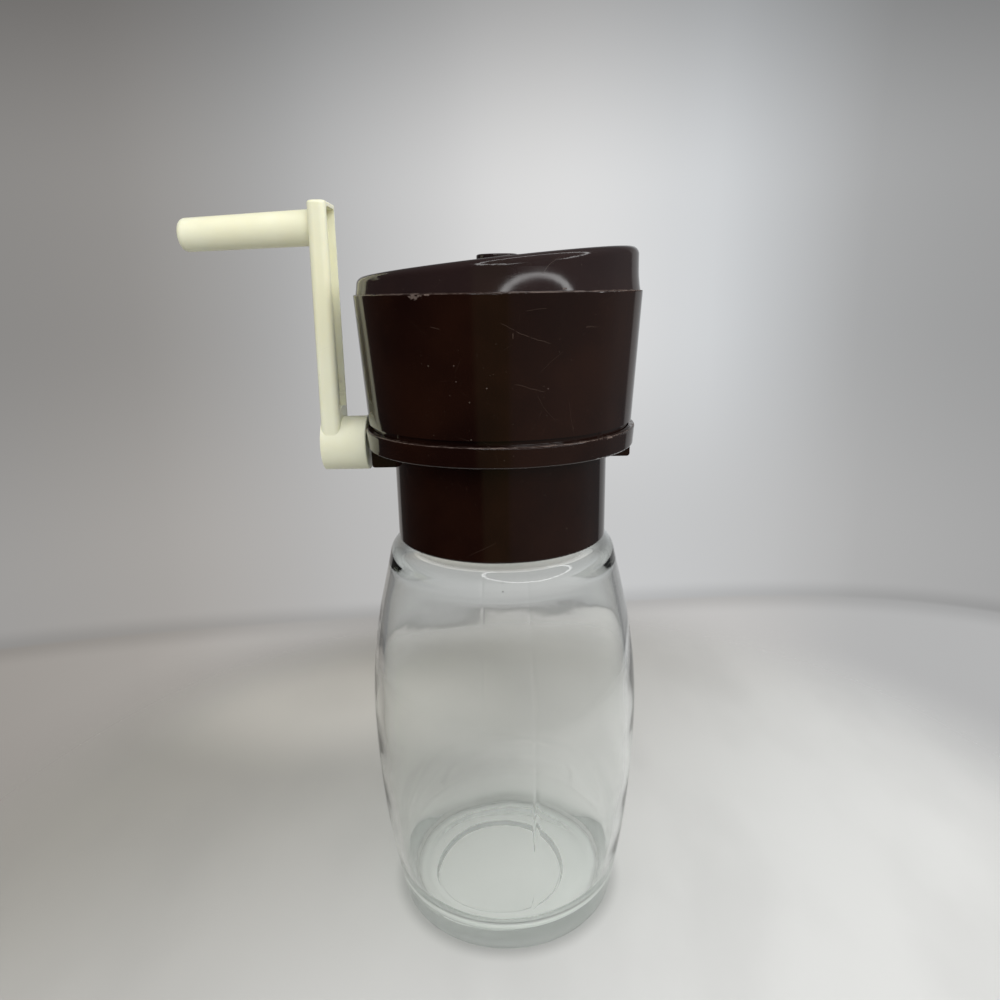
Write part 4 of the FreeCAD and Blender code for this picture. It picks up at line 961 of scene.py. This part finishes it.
@dataclass
class Head(SubAssembly):
    """Screw collar, hopper, bearings, combs and screws."""

    ring_height: float = 0.0052
    hopper_scratches: tuple[Scratch, ...] = (
        Scratch((0.0003, 0.1758), (0.0036, 0.1740), 0.30),
        Scratch((0.0036, 0.1740), (0.0069, 0.1724), 0.45),
        Scratch((0.0069, 0.1724), (0.0118, 0.1711), 0.40),
        Scratch((0.0030, 0.1621), (0.0107, 0.1604), 0.35),
        Scratch((-0.0154, 0.1751), (-0.0131, 0.1744), 0.40),
        Scratch((0.0058, 0.1782), (0.0109, 0.1788), 0.25),
        Scratch((0.0031, 0.1736), (0.0031, 0.1722), 0.6, 0.00009),
    )
    hopper_chips: tuple[Chip, ...] = (
        Chip((-0.0188, -0.0330, 0.1816), (0.0021, 0.003, 0.0008), 0.9),
        Chip((-0.0160, -0.0342, 0.1820), (0.0011, 0.002, 0.0003), 0.9),
        Chip((-0.0103, -0.0354, 0.1665)),
        Chip((-0.0029, -0.0364, 0.1615)),
        Chip((0.0110, -0.0348, 0.1609)),
        Chip((-0.0099, -0.0352, 0.1629), (0.0002, 0.001, 0.0001)),
    )
    collar_chips: tuple[Chip, ...] = (
        Chip((0.0272, -0.0246, 0.1475), (0.0022, 0.002, 0.0004), 0.9),
        Chip((0.0236, -0.0281, 0.1476), (0.0009, 0.001, 0.0003), 0.7),
    )

    def place(self) -> None:
        """Dresses every piece of the head."""
        skirt_edge, ring_top = (corner.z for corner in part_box("screw_collar"))
        hopper_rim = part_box("hopper")[1].z
        # The collar's three rim lines are partly wear and partly painted highlights along its edges.
        collar = BrownPlastic("collar_brown", rims=(
            Rim(ring_top - 0.0001, 0.00013, 0.8, 0.8), Rim(ring_top - self.ring_height, 0.00010, 0.3, 0.5),
            Rim(skirt_edge + 0.0001, 0.00012, 0.4, 0.5)), chips=self.collar_chips)
        # The hopper's rim line is partly wear and partly a painted highlight where its rounded rim catches
        # light.
        hopper = BrownPlastic("hopper_brown", rims=(Rim(hopper_rim - 0.00005, 0.00014, 1.0, 0.8),),
                              scratches=self.hopper_scratches, chips=self.hopper_chips)
        bearing = PlainPlastic("bearing_plastic", (0.72, 0.71, 0.67), (0.48, 0.46, 0.41), 0.42)
        comb = TurnedSteel("comb_steel", lay=(1.0, 8.0, 1.0))
        screw = TurnedSteel("screw_steel", (0.62, 0.62, 0.59), (0.42, 0.41, 0.37), (1.0, 1.0, 6.0), 0.33)
        self.dress(collar, Slot.BROWN, "screw_collar")
        self.dress(hopper, Slot.BROWN, "hopper")
        self.dress(bearing, Slot.BEARING, "left_bush", "right_bush")
        self.dress(comb, Slot.STEEL, "coarse_comb", "fine_comb")
        self.dress(screw, Slot.SCREW, "comb_screws", "hopper_screws")


@dataclass
class Seal(SubAssembly):
    """The flat ring between the glass and the head."""

    def place(self) -> None:
        """Dresses the ring."""
        ring = PlainPlastic("seal_rubber", (0.66, 0.64, 0.58), (0.50, 0.47, 0.40), 0.62, 0.00003)
        self.dress(ring, Slot.SEAL, "jar_gasket")


@dataclass
class Rotor(SubAssembly):
    """Crank, shaft, toothed blades and their small parts."""

    blades: int = 8
    # Where the ivory's painted shade sits, at the arm's foot on the hub.
    arm_recess: Triple = (-0.0438, 0.0, 0.1572)

    def place(self) -> None:
        """Dresses everything that turns with the crank."""
        washer = PlainPlastic("washer_plastic", (0.70, 0.69, 0.65), (0.44, 0.42, 0.38), 0.45)
        shaft = TurnedSteel("shaft_steel", lay=(10.0, 1.0, 1.0))
        blade = TurnedSteel("blade_steel", (0.56, 0.56, 0.57), (0.30, 0.29, 0.28), (1.0, 1.0, 7.0), 0.34)
        screw = TurnedSteel("crank_screw_steel", (0.62, 0.62, 0.59), (0.42, 0.41, 0.37), (1.0, 6.0, 1.0))
        blades = [f"rotor_blade_{number}" for number in range(1, self.blades + 1)]
        spacers = [f"rotor_spacer_{number}" for number in range(1, self.blades)]
        self.dress(IvoryPlastic("crank_ivory", self.arm_recess), Slot.IVORY, "crank")
        self.dress(washer, Slot.BEARING, "crank_washer")
        self.dress(shaft, Slot.STEEL, "drive_shaft", "rotor_clip", *spacers)
        self.dress(blade, Slot.STEEL, *blades)
        self.dress(screw, Slot.SCREW, "crank_screw")


@dataclass
class Cap(SubAssembly):
    """The slanted lid."""

    nicks: tuple[Chip, ...] = (
        Chip((0.0173, -0.0332, 0.1853), (0.0004, 0.001, 0.0004), 0.9),
        Chip((0.0150, -0.0345, 0.1828), (0.0014, 0.002, 0.0003), 0.6),
    )

    def place(self) -> None:
        """Dresses the lid."""
        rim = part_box("hopper")[1].z
        # Painted sheen: the lid's deep and warm are raised above the other browns to stand in for its glossy
        # sheen; its rim line is partly wear and partly a painted highlight.
        lid = BrownPlastic("lid_brown", rims=(Rim(rim + 0.0001, 0.00012, 0.5, 0.6),), chips=self.nicks,
                           deep=(0.0155, 0.0090, 0.0090), warm=(0.0210, 0.0115, 0.0105))
        self.dress(lid, Slot.BROWN, "lid")


@dataclass(frozen=True)
class Lamp:
    """One soft square lamp that looks at a point. Mirrors and glass show the room instead of it."""

    name: str
    place: Triple
    aim: Triple
    width: float
    power: float

    def build(self) -> None:
        """Makes the lamp."""
        data = bpy.data.lights.new(self.name, "AREA")
        data.shape = "SQUARE"
        data.size = self.width
        data.energy = self.power
        lamp = bpy.data.objects.new(self.name, data)
        lamp.location = self.place
        lamp.rotation_euler = (Vector(self.aim) - Vector(self.place)).to_track_quat("-Z", "Y").to_euler()
        lamp.visible_glossy = False
        lamp.visible_transmission = False
        bpy.context.scene.collection.objects.link(lamp)


def grey(level: float, blue: float = 1.0) -> Colour:
    """Returns a near grey, by how bright its red is and its blue as a share of that."""
    return level, level * (1.0 + blue) / 2.0, level * blue


@dataclass
class Room:
    """The world: a pale wall and table that are seen, and a dim room with a ring lamp that is mirrored."""

    wall_turn: float = math.radians(-7.0)
    wall_foot: float = -0.442
    crease: Pair = (-0.004, 0.003)
    mirror_left: float = 0.42
    mirror_right: float = 0.647
    mirror_edge: float = 0.004
    fill: float = 0.36
    fill_colour: Colour = (0.99, 1.0, 1.0)
    around: Colour = (0.50, 0.51, 0.50)
    glass_middle: float = 0.515
    glass_wall: float = 0.80
    glass_table: float = 1.27
    lamp_angle: float = math.radians(-57.0)
    lamp_rise: float = math.radians(46.8)
    lamp_reach: float = math.radians(37.5)
    lamp_band: float = math.radians(2.1)
    lamp_strength: float = 6.0

    def __post_init__(self) -> None:
        """Starts the world, and draws the wall and table by where a ray looks."""
        world = bpy.data.worlds.new("room")
        bpy.context.scene.world = world
        world.use_nodes = True
        world.node_tree.nodes.clear()
        graph = self.graph = Graph(world.node_tree)
        self.towards = graph.add("TexCoord")["Generated"]
        turned = {"Vector": self.towards, "Rotation": (0.0, 0.0, self.wall_turn)}
        x, y, z = graph.split(graph.add("Mapping", turned, vector_type="VECTOR")[0])
        self.turn = graph.times(graph.math("ARCTAN2", x, y), 1.0 / math.tau, 0.5)
        self.height = graph.math("ARCSINE", z)
        fourth = [graph.math("POWER", graph.math("ABSOLUTE", side), 4.0) for side in (x, y)]
        wide = graph.math("MAXIMUM", graph.math("POWER", graph.math("ADD", *fourth), 0.25), 0.001)
        self.above = graph.math("SUBTRACT", graph.math("DIVIDE", z, wide), self.wall_foot)
        self.seen = self.backdrop()

    def greys(self, *stops: tuple[float, ...]) -> Socket:
        """Returns the grey at a bearing, from stops of a bearing, a level and, if it isn't 1, its blue."""
        return self.graph.ramp(self.turn, [(place, grey(*shade)) for place, *shade in stops], "CARDINAL")

    def backdrop(self) -> Socket:
        """Draws the wall and the table behind the mill.

        Returns:
            The colour.
        """
        graph = self.graph
        # Painted light of the room: the wall and table are lighter to the right than to the left, the wall
        # darkens higher up, and a painted shadow line runs along the crease.
        middle = self.greys((0.0, 0.27), (0.39, 0.25), (0.451, 0.29, 0.93), (0.482, 0.435), (0.511, 0.63),
                            (0.531, 0.72), (0.552, 0.67, 1.03), (0.567, 0.59, 1.05), (0.589, 0.39, 1.02),
                            (0.64, 0.30), (1.0, 0.27))
        low = self.greys((0.0, 0.27), (0.39, 0.31), (0.449, 0.38, 0.92), (0.484, 0.47, 0.98), (0.53, 0.55),
                         (0.555, 0.56, 1.02), (0.58, 0.50, 1.01), (0.594, 0.43), (0.64, 0.34), (1.0, 0.27))
        table = self.greys((0.0, 0.45), (0.39, 0.33, 0.90), (0.442, 0.37, 0.88), (0.456, 0.42, 0.90),
                           (0.476, 0.48, 0.94), (0.53, 0.52, 0.97), (0.556, 0.54, 0.97),
                           (0.573, 0.535, 0.97), (0.596, 0.46), (0.65, 0.46), (1.0, 0.45))
        wall = graph.mix(graph.step(self.height, -0.32, -0.02), low, middle)
        wall = graph.scaled(wall, graph.step(self.height, 0.10, 0.42, 1.0, 0.42))
        seen = graph.mix(graph.step(self.above, *self.crease), table, wall)
        return graph.scaled(seen, graph.step(graph.math("ABSOLUTE", self.above), 0.0, 0.028, 0.82, 1.0))

    def ring_lamp(self) -> Socket:
        """Draws the round lamp behind the camera, which only mirrors meet.

        Returns:
            Its brightness.
        """
        middle = at_angle(self.lamp_angle, math.cos(self.lamp_rise), math.sin(self.lamp_rise))
        off = self.graph.math("ARCCOSINE", self.graph.vector("DOT_PRODUCT", self.towards, tuple(middle)))
        away = self.graph.math("ABSOLUTE", self.graph.math("SUBTRACT", off, self.lamp_reach))
        glow = self.graph.step(away, self.lamp_band * 0.5, self.lamp_band, 1.0, 0.0)
        return self.graph.times(glow, self.lamp_strength)

    def mirrored(self) -> Socket:
        """Draws what glossy faces mirror: the wall in front, a dim room behind and the ring lamp.

        Returns:
            The colour.
        """
        graph = self.graph
        room = graph.ramp(self.turn, (
            (0.0, (0.10, 0.095, 0.05)), (0.068, (0.085, 0.08, 0.045)), (0.080, grey(0.012)),
            (0.25, grey(0.008)), (0.36, grey(0.03)), (0.392, grey(0.05, 0.9)), (0.65, grey(0.08, 1.1)),
            (0.72, grey(0.16)), (0.88, grey(0.17, 0.9)), (0.99, grey(0.13, 0.8)), (1.0, (0.12, 0.11, 0.07))))
        room = graph.vector("ADD", room, graph.step(self.height, 0.25, 1.1, 0.0, 0.08))
        left, right = ((side - self.mirror_edge, side + self.mirror_edge)
                       for side in (self.mirror_left, self.mirror_right))
        behind = graph.math("ADD", graph.step(self.turn, *left, 1.0, 0.0), graph.step(self.turn, *right))
        return graph.vector("ADD", graph.mix(behind, self.seen, room), self.ring_lamp())

    def through_glass(self) -> Socket:
        """Draws what glass shows: the wall and table, with a plain colour round them.

        Returns:
            The colour.
        """
        graph = self.graph
        aside = graph.math("ABSOLUTE", graph.math("SUBTRACT", self.turn, self.glass_middle))
        outside = graph.math("MAXIMUM", graph.step(self.height, 0.12, 0.45), graph.step(aside, 0.11, 0.2))
        # Through glass the table is painted brighter and the wall dimmer, with the same painted shadow line
        # along the crease.
        gain = graph.step(self.above, *self.crease, self.glass_table, self.glass_wall)
        line = graph.step(graph.math("ABSOLUTE", self.above), 0.0, 0.007, 0.72, 1.0)
        return graph.mix(outside, graph.scaled(graph.scaled(self.seen, gain), line), self.around)

    def build(self) -> None:
        """Gives each kind of ray what it meets."""
        rays = self.graph.add("LightPath")
        surface = self.graph.add("Background", {0: self.fill_colour, 1: self.fill})[0]
        for ray, colour in (("Is Glossy Ray", self.mirrored()),
                            ("Is Transmission Ray", self.through_glass()), ("Is Camera Ray", self.seen)):
            light = self.graph.add("Background", {0: colour, 1: 1.0})[0]
            surface = self.graph.add("MixShader", {0: rays[ray], 1: surface, 2: light})[0]
        self.graph.feed(self.graph.tree.nodes.new("ShaderNodeOutputWorld").inputs["Surface"], surface)


@dataclass(frozen=True)
class PaintedLightPatch:
    """A soft patch of painted light, where its gain is positive, or of painted shadow, where it is negative,
    by its centre, its reach and its gain.
    """

    centre: Pair
    reach: Pair
    gain: float
    edge: float = 0.0


@dataclass(frozen=True)
class PaleFloor(Finish):
    """A pale table with painted light, lighter on one side and with painted pools of light and shadow,
    softly clouded, and fades out at its edge.
    """

    solid: float = 0.15
    end: float = 0.24
    shade: Colour = (0.345, 0.33, 0.30)
    light: Colour = (0.655, 0.655, 0.64)
    light_slope: Pair = (2.0, -1.8)
    light_span: Pair = (-0.40, 0.22)
    painted_light_patches: tuple[PaintedLightPatch, ...] = (
        # Painted light under the jar, a painted contact shadow round its foot, a painted shadow behind it to
        # the left, and a painted pool of light further back on the left.
        PaintedLightPatch((0.0, 0.0), (0.0325, 0.0325), 0.60, 0.9),
        PaintedLightPatch((0.0, 0.0), (0.0375, 0.0375), -0.30, 0.86),
        PaintedLightPatch((-0.014, 0.050), (0.040, 0.026), -0.20),
        PaintedLightPatch((-0.080, 0.108), (0.100, 0.062), 0.55, 0.2),
    )

    def paint(self, coat: Coat) -> None:
        """Paints the floor.

        Args:
            coat: the material's graph.
        """
        x, y, _ = coat.split(coat.point)
        # Painted light: the floor goes from shade to light towards the right and front.
        toward = coat.times(x, self.light_slope[0], coat.times(y, self.light_slope[1]))
        colour = coat.mix(coat.step(toward, *self.light_span), self.shade, self.light)
        soft = coat.noise(22.0, 3.0, 0.45, (1.0, 0.55, 1.0))
        colour = coat.mix(coat.step(soft, 0.40, 0.72, 0.0, 0.12), colour, grey(0.24, 0.95))
        # Each patch scales the colour: painted light where its gain is positive, painted shadow where it is
        # negative.
        gain = 1.0
        for patch in self.painted_light_patches:
            reach = coat.vector("SUBTRACT", coat.point, (*patch.centre, 0.0))
            reach = coat.vector("LENGTH", coat.vector("DIVIDE", reach, (*patch.reach, 1.0)))
            gain = coat.times(coat.step(reach, patch.edge, 1.0, 1.0, 0.0), patch.gain, gain)
        alpha = coat.step(coat.vector("LENGTH", coat.point), self.solid, self.end, 1.0, 0.0)
        coat.finish(Base_Color=coat.scaled(colour, gain), Roughness=0.7, Specular_IOR_Level=0.2, Alpha=alpha)


@dataclass
class Studio:
    """Camera, floor, room and lamps."""

    camera_place: Triple = (-0.0004, -0.2064, 0.1824)
    camera_pitch: float = math.radians(15.5)
    camera_roll: float = math.radians(1.0)
    lens: float = 27.04
    sensor: float = 36.0
    nearest: float = 0.01
    floor_height: float = -0.0002
    floor_rings: int = 24
    floor_columns: int = 96
    floor_finish: PaleFloor = PaleFloor("pale_floor")
    lamps: tuple[Lamp, ...] = (
        Lamp("overhead_lamp", (0.04, 0.02, 0.75), (0.0, 0.0, 0.12), 0.60, 0.8),
        Lamp("front_lamp", (0.26, -0.55, 0.60), (0.0, 0.0, 0.12), 0.55, 3.9),
        Lamp("left_lamp", (-0.60, -0.35, 0.50), (-0.02, 0.0, 0.12), 0.55, 1.9),
        Lamp("right_lamp", (0.55, -0.12, 0.40), (-0.03, 0.0, 0.16), 0.40, 1.6),
    )

    def build_camera(self) -> None:
        """Makes the camera at the photograph's place and angle."""
        data = bpy.data.cameras.new("camera")
        data.sensor_fit = "HORIZONTAL"
        data.sensor_width = self.sensor
        data.lens = self.lens
        data.clip_start = self.nearest
        camera = bpy.data.objects.new("camera", data)
        looking = Matrix.Rotation(math.pi / 2.0 - self.camera_pitch, 4, "X")
        rolled = Matrix.Rotation(-self.camera_roll, 4, "Z")
        camera.matrix_world = Matrix.Translation(self.camera_place) @ looking @ rolled
        bpy.context.scene.collection.objects.link(camera)
        bpy.context.scene.camera = camera

    def build_floor(self) -> None:
        """Makes a round floor."""
        turns = evenly(0.0, -math.tau, self.floor_columns)[:-1]
        radii = evenly(0.0, self.floor_finish.end, self.floor_rings)[1:]
        rings = [[at_angle(turn, radius, self.floor_height) for turn in turns] for radius in radii]
        floor = revolved("floor", Vector((0.0, 0.0, self.floor_height)), rings)
        floor.data.materials.append(self.floor_finish.material({}))

    def build(self) -> None:
        """Makes the whole studio."""
        self.build_camera()
        self.build_floor()
        Room().build()
        for lamp in self.lamps:
            lamp.build()
        bpy.context.scene.view_settings.view_transform = "Standard"
        log.info("studio has %d lamps", len(self.lamps))


def main() -> None:
    """Builds the studio and the mill, and logs what it made."""
    logging.basicConfig(level=logging.INFO, format="%(name)s: %(message)s")
    Studio().build()
    effects = {effect: SharedGroup(effect).tree for effect in Effect}
    for sub_assembly in (GlassJar, Seal, Head, Rotor, Cap):
        sub_assembly(effects).place()


if __name__ == "__main__":
    main()
